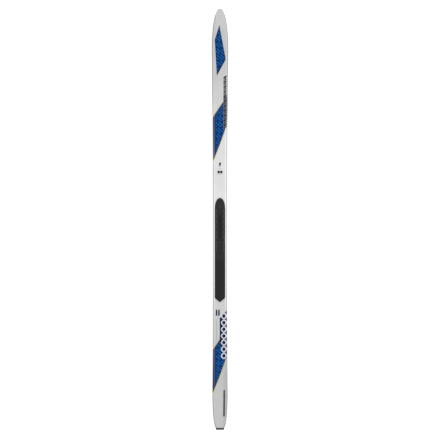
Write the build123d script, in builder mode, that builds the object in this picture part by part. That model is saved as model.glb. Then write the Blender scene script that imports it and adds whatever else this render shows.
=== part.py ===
from build123d import *
import os
from math import asin, cos, pi, sin

# A cross country touring ski, bare, with a bonded binding plate. Millimetres. The ski lies on its
# base: X is its width, +Y runs to the tip, +Z is up. The origin is on the floor, halfway along.

os.makedirs("parts", exist_ok=True)

# Length and plan outline
SKI_END = 895.0
TIP_JOINT = 868.0
TAIL_JOINT = -887.5
SHOVEL_Y = 723.0
SHOVEL_HALF = 35.0
WAIST_Y = -129.0
WAIST_HALF = 29.0
TAIL_WIDE_Y = -740.0
TAIL_HALF = 32.4
TAIL_ROUND_LENGTH = 154.6

# Side view: a flat stretch under the foot, a camber arch, a turned-up tip and a lifted tail
FLAT_FRONT = 100.0
FLAT_REAR = -180.0
CONTACT_FRONT = 650.0
CONTACT_REAR = -760.0
CAMBER = 20.0
TIP_RISE = 58.0
TAIL_RISE = 7.0
MID_THICKNESS = 26.0
CONTACT_THICKNESS = 8.0
END_THINNING = 2.0

# Cap cross-section
SIDE_SHARE = 0.35
SHOULDER_WIDTH = 7.5
TOPSHEET_THICKNESS = 0.5
CAP_THICKNESS = 1.0
BASE_THICKNESS = 1.6
LAMINATE_THICKNESS = 0.8
FILM_TRIM = BASE_THICKNESS + 0.3
LAYER_TOP = BASE_THICKNESS + LAMINATE_THICKNESS
CORE_COVER = TOPSHEET_THICKNESS + CAP_THICKNESS
CAP_DROP = 4.0
CORE_DROP = 8.0
STATION_GAPS = 40

# Base groove
GROOVE_WIDTH = 6.0
GROOVE_DEPTH = 1.0
GROOVE_FRONT = 560.0
GROOVE_REAR = -700.0

# Core
CORE_FRONT = 600.0
CORE_REAR = -700.0
STRIP_WIDTH = 9.5
STRIP_REACH = 40.0
REINFORCEMENT_FRONT = 110.0
REINFORCEMENT_REAR = -360.0
REINFORCEMENT_THICKNESS = 1.5
CHANNEL_WIDTH = 4.0
CHANNEL_DEPTH = 6.0
CHANNEL_RUNS = [(130.0, 400.0), (-560.0, -380.0)]

# End guards
TONGUE_FRONT = 850.0
TONGUE_REAR = -872.0
GUARD_LIP = 0.5
TAIL_GUARD_HALF = 17.6
TAIL_GUARD_CORNER = 3.0
GUARD_EDGE = 0.8
TIP_POINTS = 8

# Binding plate
PAD_THICKNESS = 0.5
PLATE_WIDTH = 44.6
PAD_WIDTH = 42.8
PAD_REACH = 1.0
PLATE_SPLIT = -170.2
SPLIT_GAP = 0.3
PLATE_SHOULDER = 48.0
NOSE_LENGTH = 45.5
FLANGE_THICKNESS = 1.8
PLATE_EDGE = 0.4
DECK_HALF = 12.6
DECK_HEIGHT = 3.0
DECK_FRONT = 48.0
DECK_REAR = -158.0
NOSE_RIB_WIDTH = 2.4
NOSE_RIB_LENGTH = 34.0
RAIL_FOOT = 1.4
RAIL_LIP = 3.0
LIP_BOTTOM = 3.7
RAIL_TOP = 5.2
RAIL_SLOPE = 0.4
LUG_PITCH = 22.0
LUG_LENGTH = 18.6
LUG_COUNT = 6
LUG_FRONT = 46.0
LONG_RAIL_FRONT = -88.5
LONG_RAIL_REAR = -138.0
NOTCH_Y = -83.5
NOTCH_WIDTH = 22.0
NOTCH_LENGTH = 4.5
NOTCH_FLOOR = 1.0
SPLIT_NOTCH_WIDTH = 24.0
SPLIT_NOTCH_LENGTH = 3.0
SPLIT_NOTCH_FLOOR = 0.9

# Toothed rack in a pocket of the deck
RACK_WIDTH = 10.0
RACK_FRONT = 21.0
RACK_PITCH = 5.7
RACK_TEETH = 17
RACK_BODY = 0.9
RACK_TOP = 1.9
POCKET_CLEARANCE = 0.2

# Heel half of the plate
HEEL_THICKNESS = 2.6
HEEL_SHOULDER = -330.5
HEEL_SHOULDER_ROUND = 12.0
HEEL_POINT = -349.3
HEEL_POINT_ROUND = 4.0
RING_Y = -337.0
RING_INNER = 4.0
RING_OUTER = 5.6
RING_DEPTH = 0.6

# Levels of the plate over the flat stretch of the ski
PLATE_BOTTOM = CAMBER + MID_THICKNESS + PAD_THICKNESS
FLANGE_TOP = PLATE_BOTTOM + FLANGE_THICKNESS
DECK_TOP = PLATE_BOTTOM + DECK_HEIGHT
RACK_FLOOR = DECK_TOP - RACK_TOP - POCKET_CLEARANCE

REACH = 60.0
OVERCUT = 2.0
TALL = 120.0


def base_height(y):
    """Height of the running surface above the floor."""
    if y > CONTACT_FRONT:
        return TIP_RISE * ((y - CONTACT_FRONT) / (SKI_END - CONTACT_FRONT)) ** 2.2
    if y < CONTACT_REAR:
        return TAIL_RISE * ((CONTACT_REAR - y) / (SKI_END + CONTACT_REAR)) ** 2
    return CAMBER * (1 - arch_share(y) ** 2) ** 1.5


def arch_share(y):
    """0 on the flat stretch under the foot, 1 at the two contact lines and past them."""
    if y > FLAT_FRONT:
        return min(1.0, (y - FLAT_FRONT) / (CONTACT_FRONT - FLAT_FRONT))
    if y < FLAT_REAR:
        return min(1.0, (FLAT_REAR - y) / (FLAT_REAR - CONTACT_REAR))
    return 0.0


def thickness(y):
    """Overall thickness of the ski, thinning to its ends."""
    past_contact = max(0.0, y - CONTACT_FRONT, CONTACT_REAR - y)
    thinning = END_THINNING * (past_contact / (SKI_END - CONTACT_FRONT)) ** 2
    body = (MID_THICKNESS - CONTACT_THICKNESS) * (1 - arch_share(y) ** 2) ** 1.2
    return CONTACT_THICKNESS + body - thinning


def top_height(y):
    """Height of the top face above the floor."""
    return base_height(y) + thickness(y)


def half_width(y):
    """Half the plan width: a sidecut, a rounded tip and a rounded tail."""
    if y > SHOVEL_Y:
        tip_share = (y - SHOVEL_Y) / (SKI_END - SHOVEL_Y)
        return SHOVEL_HALF * (1 - tip_share**2) ** (1 / 2.4)
    if y < TAIL_WIDE_Y:
        tail_share = (TAIL_WIDE_Y - y) / TAIL_ROUND_LENGTH
        return TAIL_HALF * (1 - tail_share**2) ** 0.25
    if y > WAIST_Y:
        flare = ((y - WAIST_Y) / (SHOVEL_Y - WAIST_Y)) ** 2
        return WAIST_HALF + (SHOVEL_HALF - WAIST_HALF) * flare
    flare = ((WAIST_Y - y) / (WAIST_Y - TAIL_WIDE_Y)) ** 2
    return WAIST_HALF + (TAIL_HALF - WAIST_HALF) * flare


def stations(rear, front, gaps):
    """Places along the ski, closer together towards both ends."""
    middle = (rear + front) / 2
    return [middle - (front - rear) / 2 * cos(pi * i / gaps) for i in range(gaps + 1)]


def section(y, inset, drop):
    """Cap cross-section at y, moved in by inset, with its open bottom lowered by drop."""
    half = half_width(y)
    side_top = base_height(y) + SIDE_SHARE * thickness(y)
    slope_rise = top_height(y) - side_top
    slope_length = (slope_rise**2 + SHOULDER_WIDTH**2) ** 0.5
    side_top -= inset * (slope_length - slope_rise) / SHOULDER_WIDTH
    shoulder_x = half - SHOULDER_WIDTH - inset * (slope_length - SHOULDER_WIDTH) / slope_rise
    side_x = half - inset
    bottom = base_height(y) - drop
    top = top_height(y) - inset
    with BuildSketch(Plane.XZ.offset(-y)) as outline:
        with BuildLine():
            Polyline(
                (side_x, bottom),
                (side_x, side_top),
                (shoulder_x, top),
                (-shoulder_x, top),
                (-side_x, side_top),
                (-side_x, bottom),
                close=True,
            )
        make_face()
    return outline.sketch


def skin(inset, drop):
    """The whole body between the end guards as one smooth loft."""
    with BuildPart() as body:
        loft([section(y, inset, drop) for y in stations(TAIL_JOINT, TIP_JOINT, STATION_GAPS)])
    return body.part


def side_band(low, high):
    """Side-view face between two heights, each given as a function of y."""
    places = stations(-SKI_END, SKI_END, STATION_GAPS)
    with BuildSketch(Plane.YZ) as band:
        with BuildLine():
            bottom = Spline(*[(y, low(y)) for y in places])
            top = Spline(*[(y, high(y)) for y in places])
            Line(bottom @ 0, top @ 0)
            Line(bottom @ 1, top @ 1)
        make_face()
    return band.sketch


def length_block(rear, front):
    """Plan rectangle that covers the ski's width between two places."""
    with BuildSketch() as block:
        with Locations((0, (rear + front) / 2)):
            Rectangle(2 * REACH, front - rear)
    return block.sketch


def channel_cutter(x, rear, front):
    """Air channel milled down into the core between two places along the ski."""
    with BuildPart() as cutter:
        extrude(channel_band, amount=REACH, both=True)
        with BuildSketch():
            with Locations((x, (rear + front) / 2)):
                SlotOverall(front - rear, CHANNEL_WIDTH, rotation=90)
        extrude(amount=TALL, mode=Mode.INTERSECT)
    return cutter.part


def tip_outline():
    """Plan points of the tip guard, from its left corner round to its right corner."""
    first = asin((TIP_JOINT - SHOVEL_Y) / (SKI_END - SHOVEL_Y))
    turns = [first + (pi / 2 - first) * i / TIP_POINTS for i in range(TIP_POINTS + 1)]
    right = []
    for turn in turns:
        y = SHOVEL_Y + (SKI_END - SHOVEL_Y) * sin(turn)
        right.append((GUARD_LIP * cos(turn) + SHOVEL_HALF * cos(turn) ** (1 / 1.2), y))
    left = [(-x, y) for x, y in right[:-1]]
    return left + [(0.0, SKI_END)] + right[-2::-1]


def front_plate_plan(plane, width):
    """Outline of the front half of the plate: a straight body with a long rounded nose."""
    with BuildSketch(plane) as plan:
        with Locations((0, (PLATE_SPLIT + PLATE_SHOULDER) / 2)):
            Rectangle(width, PLATE_SHOULDER - PLATE_SPLIT)
        with Locations((0, PLATE_SHOULDER)):
            Ellipse(width / 2, NOSE_LENGTH)
    return plan.sketch


def heel_plate_plan(width):
    """Outline of the heel half of the plate: its sides draw in to a blunt point at the rear."""
    front = PLATE_SPLIT - SPLIT_GAP
    half = width / 2
    with BuildSketch() as plan:
        with BuildLine():
            Polyline(
                (-half, front),
                (-half, HEEL_SHOULDER),
                (0, HEEL_POINT),
                (half, HEEL_SHOULDER),
                (half, front),
                close=True,
            )
        make_face()
        corners = plan.vertices().sort_by(Axis.Y)
        fillet(corners[0], radius=HEEL_POINT_ROUND)
        shoulders = plan.vertices().filter_by_position(Axis.Y, HEEL_SHOULDER - 0.1, HEEL_SHOULDER + 0.1)
        fillet(shoulders, radius=HEEL_SHOULDER_ROUND)
    return plan.sketch


def split_notch_plan():
    """Outline of the shallow notch across the split of the plate, on its floor."""
    with BuildSketch(Plane.XY.offset(PLATE_BOTTOM + SPLIT_NOTCH_FLOOR)) as plan:
        with Locations((0, PLATE_SPLIT)):
            Rectangle(SPLIT_NOTCH_WIDTH, 2 * SPLIT_NOTCH_LENGTH)
    return plan.sketch


def rail_profile(sign):
    """Section of one rail: a foot on the flange with a lip that points outward."""
    foot = sign * DECK_HALF
    neck = sign * (DECK_HALF + RAIL_FOOT)
    lip = sign * (DECK_HALF + RAIL_LIP)
    return [
        (foot, FLANGE_TOP),
        (neck, FLANGE_TOP),
        (neck, PLATE_BOTTOM + LIP_BOTTOM),
        (lip, PLATE_BOTTOM + LIP_BOTTOM + RAIL_SLOPE),
        (lip, PLATE_BOTTOM + RAIL_TOP - RAIL_SLOPE),
        (lip - sign * RAIL_SLOPE, PLATE_BOTTOM + RAIL_TOP),
        (foot, PLATE_BOTTOM + RAIL_TOP),
    ]


# Shared envelopes and side views
outer_skin = skin(0, 0)
cap_skin = skin(TOPSHEET_THICKNESS, CAP_DROP)
core_skin = skin(CORE_COVER, CORE_DROP)
base_band = side_band(lambda y: base_height(y) - 2, lambda y: base_height(y) + BASE_THICKNESS)
groove_band = side_band(lambda y: base_height(y) - OVERCUT, lambda y: base_height(y) + GROOVE_DEPTH)
laminate_band = side_band(
    lambda y: base_height(y) + BASE_THICKNESS,
    lambda y: base_height(y) + LAYER_TOP,
)
shell_band = side_band(lambda y: base_height(y) + BASE_THICKNESS, lambda y: top_height(y) + OVERCUT)
film_band = side_band(lambda y: base_height(y) + FILM_TRIM, lambda y: top_height(y) + OVERCUT)
core_band = side_band(lambda y: base_height(y) + LAYER_TOP, lambda y: top_height(y) + OVERCUT)
reinforcement_band = side_band(
    lambda y: top_height(y) - CORE_COVER - REINFORCEMENT_THICKNESS,
    lambda y: top_height(y) + OVERCUT,
)
channel_band = side_band(
    lambda y: top_height(y) - CORE_COVER - CHANNEL_DEPTH,
    lambda y: top_height(y) + OVERCUT,
)
guard_band = side_band(base_height, lambda y: top_height(y) + GUARD_LIP)
pad_band = side_band(lambda y: top_height(y) - PAD_REACH, lambda y: top_height(y) + PAD_THICKNESS)
heel_band = side_band(
    lambda y: top_height(y) + PAD_THICKNESS,
    lambda y: top_height(y) + PAD_THICKNESS + HEEL_THICKNESS,
)

# Running base: plastic sole with a centre groove
with BuildPart() as base_groove:
    extrude(groove_band, amount=GROOVE_WIDTH / 2, both=True)
    extrude(length_block(GROOVE_REAR, GROOVE_FRONT), amount=TALL, mode=Mode.INTERSECT)

with BuildPart() as running_base:
    add(outer_skin)
    extrude(base_band, amount=REACH, both=True, mode=Mode.INTERSECT)
    add(base_groove.part, mode=Mode.SUBTRACT)
running_base.part.label = "running_base"
export_step(running_base.part, "parts/running_base.step")

# Bottom laminate: glass-fibre sheet over the sole, inside the cap
with BuildPart() as bottom_laminate:
    add(core_skin)
    extrude(laminate_band, amount=REACH, both=True, mode=Mode.INTERSECT)
bottom_laminate.part.label = "bottom_laminate"
export_step(bottom_laminate.part, "parts/bottom_laminate.step")

# Topsheet: printed film over the top and sides, trimmed just above the sole
with BuildPart() as topsheet:
    add(outer_skin)
    add(cap_skin, mode=Mode.SUBTRACT)
    extrude(film_band, amount=REACH, both=True, mode=Mode.INTERSECT)
topsheet.part.label = "topsheet"
export_step(topsheet.part, "parts/topsheet.step")

# Torsion cap: glass-fibre shell under the topsheet
with BuildPart() as torsion_cap:
    add(cap_skin)
    add(core_skin, mode=Mode.SUBTRACT)
    extrude(shell_band, amount=REACH, both=True, mode=Mode.INTERSECT)
torsion_cap.part.label = "torsion_cap"
export_step(torsion_cap.part, "parts/torsion_cap.step")

# Space inside the cap, shared by the core and its fillers
with BuildPart() as core_space:
    add(core_skin)
    extrude(core_band, amount=REACH, both=True, mode=Mode.INTERSECT)

# Binding reinforcement: dense sheet on the core under the plate
with BuildPart() as binding_reinforcement:
    add(core_space.part)
    extrude(reinforcement_band, amount=REACH, both=True, mode=Mode.INTERSECT)
    extrude(
        length_block(REINFORCEMENT_REAR, REINFORCEMENT_FRONT),
        amount=TALL,
        mode=Mode.INTERSECT,
    )
binding_reinforcement.part.label = "binding_reinforcement"
export_step(binding_reinforcement.part, "parts/binding_reinforcement.step")

# Tip and tail fillers: light wedges that end the core
for name, rear, front in (
    ("tip_filler", CORE_FRONT, TONGUE_FRONT),
    ("tail_filler", TONGUE_REAR, CORE_REAR),
):
    with BuildPart() as filler:
        add(core_space.part)
        extrude(length_block(rear, front), amount=TALL, mode=Mode.INTERSECT)
    filler.part.label = name
    export_step(filler.part, f"parts/{name}.step")

# Wood core: six strips side by side, with air channels milled into the middle strips
strip_bounds = {
    "inner": (0.0, STRIP_WIDTH),
    "middle": (STRIP_WIDTH, 2 * STRIP_WIDTH),
    "outer": (2 * STRIP_WIDTH, STRIP_REACH),
}
for side, sign in (("left", -1), ("right", 1)):
    for place, (near, far) in strip_bounds.items():
        with BuildPart() as core_strip:
            add(core_space.part)
            with BuildSketch() as strip_plan:
                with Locations((sign * (near + far) / 2, (CORE_REAR + CORE_FRONT) / 2)):
                    Rectangle(far - near, CORE_FRONT - CORE_REAR)
            extrude(amount=TALL, mode=Mode.INTERSECT)
            add(binding_reinforcement.part, mode=Mode.SUBTRACT)
            if place == "middle":
                for rear, front in CHANNEL_RUNS:
                    add(channel_cutter(sign * 1.5 * STRIP_WIDTH, rear, front), mode=Mode.SUBTRACT)
        core_strip.part.label = f"core_strip_{side}_{place}"
        export_step(core_strip.part, f"parts/core_strip_{side}_{place}.step")

# Tip guard: rounded moulding with a tongue between the laminates
with BuildPart() as tip_tongue:
    add(core_space.part)
    extrude(length_block(TONGUE_FRONT, TIP_JOINT), amount=TALL, mode=Mode.INTERSECT)

with BuildPart() as tip_guard:
    with BuildSketch() as tip_plan:
        with BuildLine():
            tip_curve = Spline(*tip_outline())
            Line(tip_curve @ 0, tip_curve @ 1)
        make_face()
    extrude(amount=TALL)
    extrude(guard_band, amount=REACH, both=True, mode=Mode.INTERSECT)
    tip_rims = tip_guard.edges().filter_by_position(Axis.Y, TIP_JOINT + 1, SKI_END + 1)
    fillet(tip_rims.group_by(Axis.Z)[-1], radius=GUARD_EDGE)
    add(tip_tongue.part)
tip_guard.part.label = "tip_guard"
export_step(tip_guard.part, "parts/tip_guard.step")

# Tail guard: small rounded block with a tongue of its own
with BuildPart() as tail_tongue:
    add(core_space.part)
    extrude(length_block(TAIL_JOINT, TONGUE_REAR), amount=TALL, mode=Mode.INTERSECT)

with BuildPart() as tail_guard:
    with BuildSketch() as tail_plan:
        with Locations((0, (TAIL_JOINT - SKI_END) / 2)):
            Rectangle(2 * TAIL_GUARD_HALF, SKI_END + TAIL_JOINT)
        fillet(tail_plan.vertices().group_by(Axis.Y)[0], radius=TAIL_GUARD_CORNER)
    extrude(amount=TALL)
    extrude(guard_band, amount=REACH, both=True, mode=Mode.INTERSECT)
    add(tail_tongue.part)
tail_guard.part.label = "tail_guard"
export_step(tail_guard.part, "parts/tail_guard.step")

# Adhesive pads: they fill the space between the ski's top face and the plate
with BuildPart() as plate_pad_front:
    extrude(front_plate_plan(Plane.XY.offset(PLATE_BOTTOM - PAD_REACH), PAD_WIDTH), amount=PAD_REACH)
    add(outer_skin, mode=Mode.SUBTRACT)
plate_pad_front.part.label = "plate_pad_front"
export_step(plate_pad_front.part, "parts/plate_pad_front.step")

with BuildPart() as plate_pad_rear:
    extrude(heel_plate_plan(PAD_WIDTH), amount=TALL)
    extrude(pad_band, amount=REACH, both=True, mode=Mode.INTERSECT)
    add(outer_skin, mode=Mode.SUBTRACT)
plate_pad_rear.part.label = "plate_pad_rear"
export_step(plate_pad_rear.part, "parts/plate_pad_rear.step")

# Front half of the binding plate: flange, deck, rail lugs, notch and rack pocket
rails = [(LUG_FRONT - LUG_PITCH * i, LUG_LENGTH) for i in range(LUG_COUNT)]
rails.append((LONG_RAIL_FRONT, LONG_RAIL_FRONT - LONG_RAIL_REAR))
rack_length = RACK_PITCH * RACK_TEETH
rack_middle = RACK_FRONT - rack_length / 2
with BuildPart() as binding_plate_front:
    extrude(front_plate_plan(Plane.XY.offset(PLATE_BOTTOM), PLATE_WIDTH), amount=FLANGE_THICKNESS)
    rims = binding_plate_front.faces().sort_by(Axis.Z)[-1].outer_wire().edges()
    chamfer(rims, length=PLATE_EDGE)
    with BuildSketch(Plane.XY.offset(FLANGE_TOP)) as deck_plan:
        with Locations((0, (DECK_FRONT + DECK_REAR) / 2)):
            Rectangle(2 * DECK_HALF, DECK_FRONT - DECK_REAR)
        with Locations((0, DECK_FRONT + NOSE_RIB_LENGTH / 2)):
            Rectangle(NOSE_RIB_WIDTH, NOSE_RIB_LENGTH)
    extrude(amount=DECK_HEIGHT - FLANGE_THICKNESS)
    for rail_front, rail_length in rails:
        for sign in (-1, 1):
            with BuildSketch(Plane.XZ.offset(-rail_front)):
                with BuildLine():
                    Polyline(*rail_profile(sign), close=True)
                make_face()
            extrude(amount=rail_length)
    with BuildSketch(Plane.XY.offset(DECK_TOP)) as notch_plan:
        with Locations((0, NOTCH_Y)):
            SlotOverall(NOTCH_WIDTH, NOTCH_LENGTH)
    extrude(amount=NOTCH_FLOOR - DECK_HEIGHT, mode=Mode.SUBTRACT)
    with BuildSketch(Plane.XY.offset(DECK_TOP)) as pocket_plan:
        with Locations((0, rack_middle)):
            Rectangle(RACK_WIDTH, rack_length)
    extrude(amount=RACK_FLOOR - DECK_TOP, mode=Mode.SUBTRACT)
    extrude(split_notch_plan(), amount=TALL, mode=Mode.SUBTRACT)
binding_plate_front.part.label = "binding_plate_front"
export_step(binding_plate_front.part, "parts/binding_plate_front.step")

# Adjustment rack: a strip of saw teeth that fixes the binding's place along the rails
with BuildPart() as adjustment_rack:
    with BuildSketch(Plane.YZ) as rack_profile:
        with BuildLine():
            corners = [(RACK_FRONT, RACK_FLOOR)]
            for tooth in range(RACK_TEETH):
                tooth_front = RACK_FRONT - RACK_PITCH * tooth
                corners.append((tooth_front, RACK_FLOOR + RACK_TOP))
                corners.append((tooth_front - RACK_PITCH / 2, RACK_FLOOR + RACK_TOP))
                corners.append((tooth_front - RACK_PITCH, RACK_FLOOR + RACK_BODY))
            corners.append((RACK_FRONT - rack_length, RACK_FLOOR))
            Polyline(*corners, close=True)
        make_face()
    extrude(amount=RACK_WIDTH / 2, both=True)
adjustment_rack.part.label = "adjustment_rack"
export_step(adjustment_rack.part, "parts/adjustment_rack.step")

# Heel half of the binding plate: follows the top face down to its rear point, with a moulded ring
ring_floor = top_height(RING_Y) + PAD_THICKNESS + HEEL_THICKNESS - RING_DEPTH
with BuildPart() as binding_plate_rear:
    extrude(heel_plate_plan(PLATE_WIDTH), amount=TALL)
    extrude(heel_band, amount=REACH, both=True, mode=Mode.INTERSECT)
    with BuildSketch(Plane.XY.offset(ring_floor)) as ring_plan:
        with Locations((0, RING_Y)):
            Circle(RING_OUTER)
            Circle(RING_INNER, mode=Mode.SUBTRACT)
    extrude(amount=TALL, mode=Mode.SUBTRACT)
    extrude(split_notch_plan(), amount=TALL, mode=Mode.SUBTRACT)
binding_plate_rear.part.label = "binding_plate_rear"
export_step(binding_plate_rear.part, "parts/binding_plate_rear.step")
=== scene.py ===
"""Cross country touring ski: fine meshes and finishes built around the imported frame, in metres."""

import logging
import math
from collections.abc import Callable
from dataclasses import dataclass, field
from enum import Enum

import bmesh
import bpy
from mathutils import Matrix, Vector
from mathutils.geometry import delaunay_2d_cdt


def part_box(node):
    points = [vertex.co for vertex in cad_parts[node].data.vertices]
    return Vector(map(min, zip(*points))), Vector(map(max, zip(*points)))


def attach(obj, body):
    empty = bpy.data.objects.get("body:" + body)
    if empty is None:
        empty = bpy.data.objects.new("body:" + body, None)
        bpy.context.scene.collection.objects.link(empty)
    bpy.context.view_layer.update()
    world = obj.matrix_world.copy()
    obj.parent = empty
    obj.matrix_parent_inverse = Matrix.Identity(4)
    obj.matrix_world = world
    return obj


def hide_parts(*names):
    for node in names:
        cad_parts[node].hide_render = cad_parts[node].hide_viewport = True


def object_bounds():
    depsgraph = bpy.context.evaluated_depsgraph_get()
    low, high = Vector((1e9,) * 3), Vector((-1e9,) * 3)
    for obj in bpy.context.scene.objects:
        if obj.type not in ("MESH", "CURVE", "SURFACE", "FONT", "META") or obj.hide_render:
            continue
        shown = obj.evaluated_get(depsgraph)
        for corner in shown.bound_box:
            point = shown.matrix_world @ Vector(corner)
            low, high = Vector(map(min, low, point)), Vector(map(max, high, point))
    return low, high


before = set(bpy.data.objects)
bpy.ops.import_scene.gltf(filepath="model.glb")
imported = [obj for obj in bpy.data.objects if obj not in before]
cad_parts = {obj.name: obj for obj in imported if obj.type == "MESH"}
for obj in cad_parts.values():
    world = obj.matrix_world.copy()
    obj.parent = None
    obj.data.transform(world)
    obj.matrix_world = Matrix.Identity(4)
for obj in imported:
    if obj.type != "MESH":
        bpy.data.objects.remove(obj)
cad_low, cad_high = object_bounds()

log = logging.getLogger("ski")
MM = 0.001
ROOT = "root"

Point = tuple[float, float]
Rule = Callable[[float, float], float]
Rgb = tuple[float, float, float]
Faces = list[tuple[int, ...]]
Solid = tuple[list[Vector], Faces]


def clamp(value: float) -> float:
    """Keeps a share between 0 and 1."""
    return min(1.0, max(0.0, value))


def in_mm(*points: Point) -> list[Point]:
    """Turns plan points in millimetres into metres."""
    return [(x * MM, y * MM) for x, y in points]


# ---------------------------------------------------------------- shape of the ski


@dataclass(frozen=True)
class SkiShape:
    """Plan outline and side view of the ski body, by the same rules as the frame, in metres."""

    end: float = cad_high.y
    tip_joint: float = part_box("topsheet")[1].y
    tail_joint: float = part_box("topsheet")[0].y
    shovel_y: float = 723 * MM
    shovel_half: float = 35 * MM
    waist_y: float = -129 * MM
    waist_half: float = 29 * MM
    tail_wide_y: float = -740 * MM
    tail_half: float = 32.4 * MM
    tail_round: float = 154.6 * MM
    flat_front: float = 100 * MM
    flat_rear: float = -180 * MM
    contact_front: float = 650 * MM
    contact_rear: float = -760 * MM
    camber: float = 20 * MM
    tip_rise: float = 58 * MM
    tail_rise: float = 7 * MM
    mid_thickness: float = 26 * MM
    contact_thickness: float = 8 * MM
    end_thinning: float = 2 * MM
    tip_curl: float = 2.2
    tip_power: float = 1 / 2.4
    tail_power: float = 0.25
    side_share: float = 0.35
    shoulder: float = 7.5 * MM
    corner_round: float = 0.6 * MM

    def arch_share(self, y: float) -> float:
        """Place on the camber arch.

        Args:
            y: Place along the ski.

        Returns:
            0 on the flat stretch under the foot, 1 at the contact lines and past them.
        """
        if y > self.flat_front:
            return min(1.0, (y - self.flat_front) / (self.contact_front - self.flat_front))
        if y < self.flat_rear:
            return min(1.0, (self.flat_rear - y) / (self.flat_rear - self.contact_rear))
        return 0.0

    def base(self, y: float) -> float:
        """Height of the running surface.

        Args:
            y: Place along the ski.

        Returns:
            Height above the floor.
        """
        if y > self.contact_front:
            share = (y - self.contact_front) / (self.end - self.contact_front)
            return self.tip_rise * share**self.tip_curl
        if y < self.contact_rear:
            share = (self.contact_rear - y) / (self.end + self.contact_rear)
            return self.tail_rise * share**2
        return self.camber * (1 - self.arch_share(y) ** 2) ** 1.5

    def thickness(self, y: float) -> float:
        """Overall thickness.

        Args:
            y: Place along the ski.

        Returns:
            Distance from the running surface to the top face.
        """
        past_contact = max(0.0, y - self.contact_front, self.contact_rear - y)
        thinning = self.end_thinning * (past_contact / (self.end - self.contact_front)) ** 2
        body = (self.mid_thickness - self.contact_thickness) * (1 - self.arch_share(y) ** 2) ** 1.2
        return self.contact_thickness + body - thinning

    def top(self, y: float) -> float:
        """Height of the top face at y."""
        return self.base(y) + self.thickness(y)

    def half(self, y: float) -> float:
        """Half the plan width.

        Args:
            y: Place along the ski.

        Returns:
            Distance from the middle line to the edge.
        """
        if y > self.shovel_y:
            share = min(1.0, (y - self.shovel_y) / (self.end - self.shovel_y))
            return self.shovel_half * (1 - share**2) ** self.tip_power
        if y < self.tail_wide_y:
            share = min(1.0, (self.tail_wide_y - y) / self.tail_round)
            return self.tail_half * (1 - share**2) ** self.tail_power
        if y > self.waist_y:
            flare = ((y - self.waist_y) / (self.shovel_y - self.waist_y)) ** 2
            return self.waist_half + (self.shovel_half - self.waist_half) * flare
        flare = ((self.waist_y - y) / (self.waist_y - self.tail_wide_y)) ** 2
        return self.waist_half + (self.tail_half - self.waist_half) * flare

    def cap(self, x: float, y: float) -> float:
        """Height of the cap: a flat top that rounds over into sloped shoulders.

        Args:
            x: Place across the ski.
            y: Place along the ski.

        Returns:
            Height above the floor.
        """
        top = self.top(y)
        side_top = self.base(y) + self.side_share * self.thickness(y)
        from_edge = max(0.0, self.half(y) - abs(x))
        slope = side_top + (top - side_top) * from_edge / self.shoulder
        blend = max(self.corner_round - abs(slope - top), 0.0) / self.corner_round
        return min(slope, top) - blend * blend * self.corner_round / 4

    def stations(self, rear: float, front: float, gaps: int) -> list[float]:
        """Places along the ski, closer together towards both ends.

        Args:
            rear: First place.
            front: Last place.
            gaps: How many stretches lie between them.

        Returns:
            The places, from rear to front.
        """
        middle = (rear + front) / 2
        reach = (front - rear) / 2
        return [middle - reach * math.cos(math.pi * i / gaps) for i in range(gaps + 1)]

    def outline(self, rows: list[float]) -> list[Point]:
        """Plan of the body through given places along it.

        Args:
            rows: Places along the ski, from rear to front.

        Returns:
            Plan points: the right edge, then the left edge back again.
        """
        right = [(self.half(y), y) for y in rows]
        return right + [(-x, y) for x, y in reversed(right)]


SHAPE = SkiShape()


# ---------------------------------------------------------------- mesh making


class Slot(Enum):
    """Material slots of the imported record."""

    FILM = "topsheet_film"
    GUARD_GREY = "guard_grey"
    GUARD_DARK = "guard_dark"
    PLATE = "plate_black"
    RACK = "rack_black"
    SOLE = "base_plastic"


def add_piece(
    mesh: bpy.types.Mesh, name: str, replaces: tuple[str, ...] = ()
) -> bpy.types.Object:
    """Links a mesh as a piece of the ski.

    Args:
        mesh: Finished mesh, in place, with its materials.
        name: Piece name.
        replaces: Nodes of the frame that the piece stands for.

    Returns:
        The linked object.
    """
    piece = bpy.data.objects.new(name, mesh)
    bpy.context.scene.collection.objects.link(piece)
    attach(piece, ROOT)
    if replaces:
        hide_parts(*replaces)
    log.info("%s: %d faces", name, len(mesh.polygons))
    return piece


def smooth_mesh(mesh: bpy.types.Mesh, angle: float = 35.0) -> bpy.types.Mesh:
    """Shades a mesh smooth up to an angle.

    Args:
        mesh: Mesh to shade.
        angle: Edges that turn more than this many degrees stay sharp.

    Returns:
        The same mesh.
    """
    mesh.polygons.foreach_set("use_smooth", [True] * len(mesh.polygons))
    mesh.set_sharp_from_angle(angle=math.radians(angle))
    return mesh


def with_modifiers(
    mesh: bpy.types.Mesh, add: Callable[[bpy.types.Object], None], name: str
) -> bpy.types.Mesh:
    """Runs modifiers on a mesh and keeps only their result.

    Args:
        mesh: Mesh to start from.
        add: Puts the modifiers on an object that holds the mesh.
        name: Name of the result.

    Returns:
        A plain mesh.
    """
    holder = bpy.data.objects.new(name + "_making", mesh)
    bpy.context.scene.collection.objects.link(holder)
    add(holder)
    graph = bpy.context.evaluated_depsgraph_get()
    result = bpy.data.meshes.new_from_object(holder.evaluated_get(graph))
    result.name = name
    bpy.data.objects.remove(holder)
    return result


def bevelled(
    mesh: bpy.types.Mesh, width: float, name: str, segments: int = 2
) -> bpy.types.Mesh:
    """Rounds the hard edges of a mesh.

    Args:
        mesh: Mesh to round.
        width: Width of the rounding.
        name: Name of the result.
        segments: Faces across the rounding.

    Returns:
        The rounded mesh, shaded smooth.
    """

    def add(holder: bpy.types.Object) -> None:
        """Adds the bevel."""
        bevel = holder.modifiers.new("rounding", "BEVEL")
        bevel.width = width
        bevel.segments = segments
        bevel.limit_method = "ANGLE"
        bevel.angle_limit = math.radians(40)
        bevel.use_clamp_overlap = True

    return smooth_mesh(with_modifiers(mesh, add, name))


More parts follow.
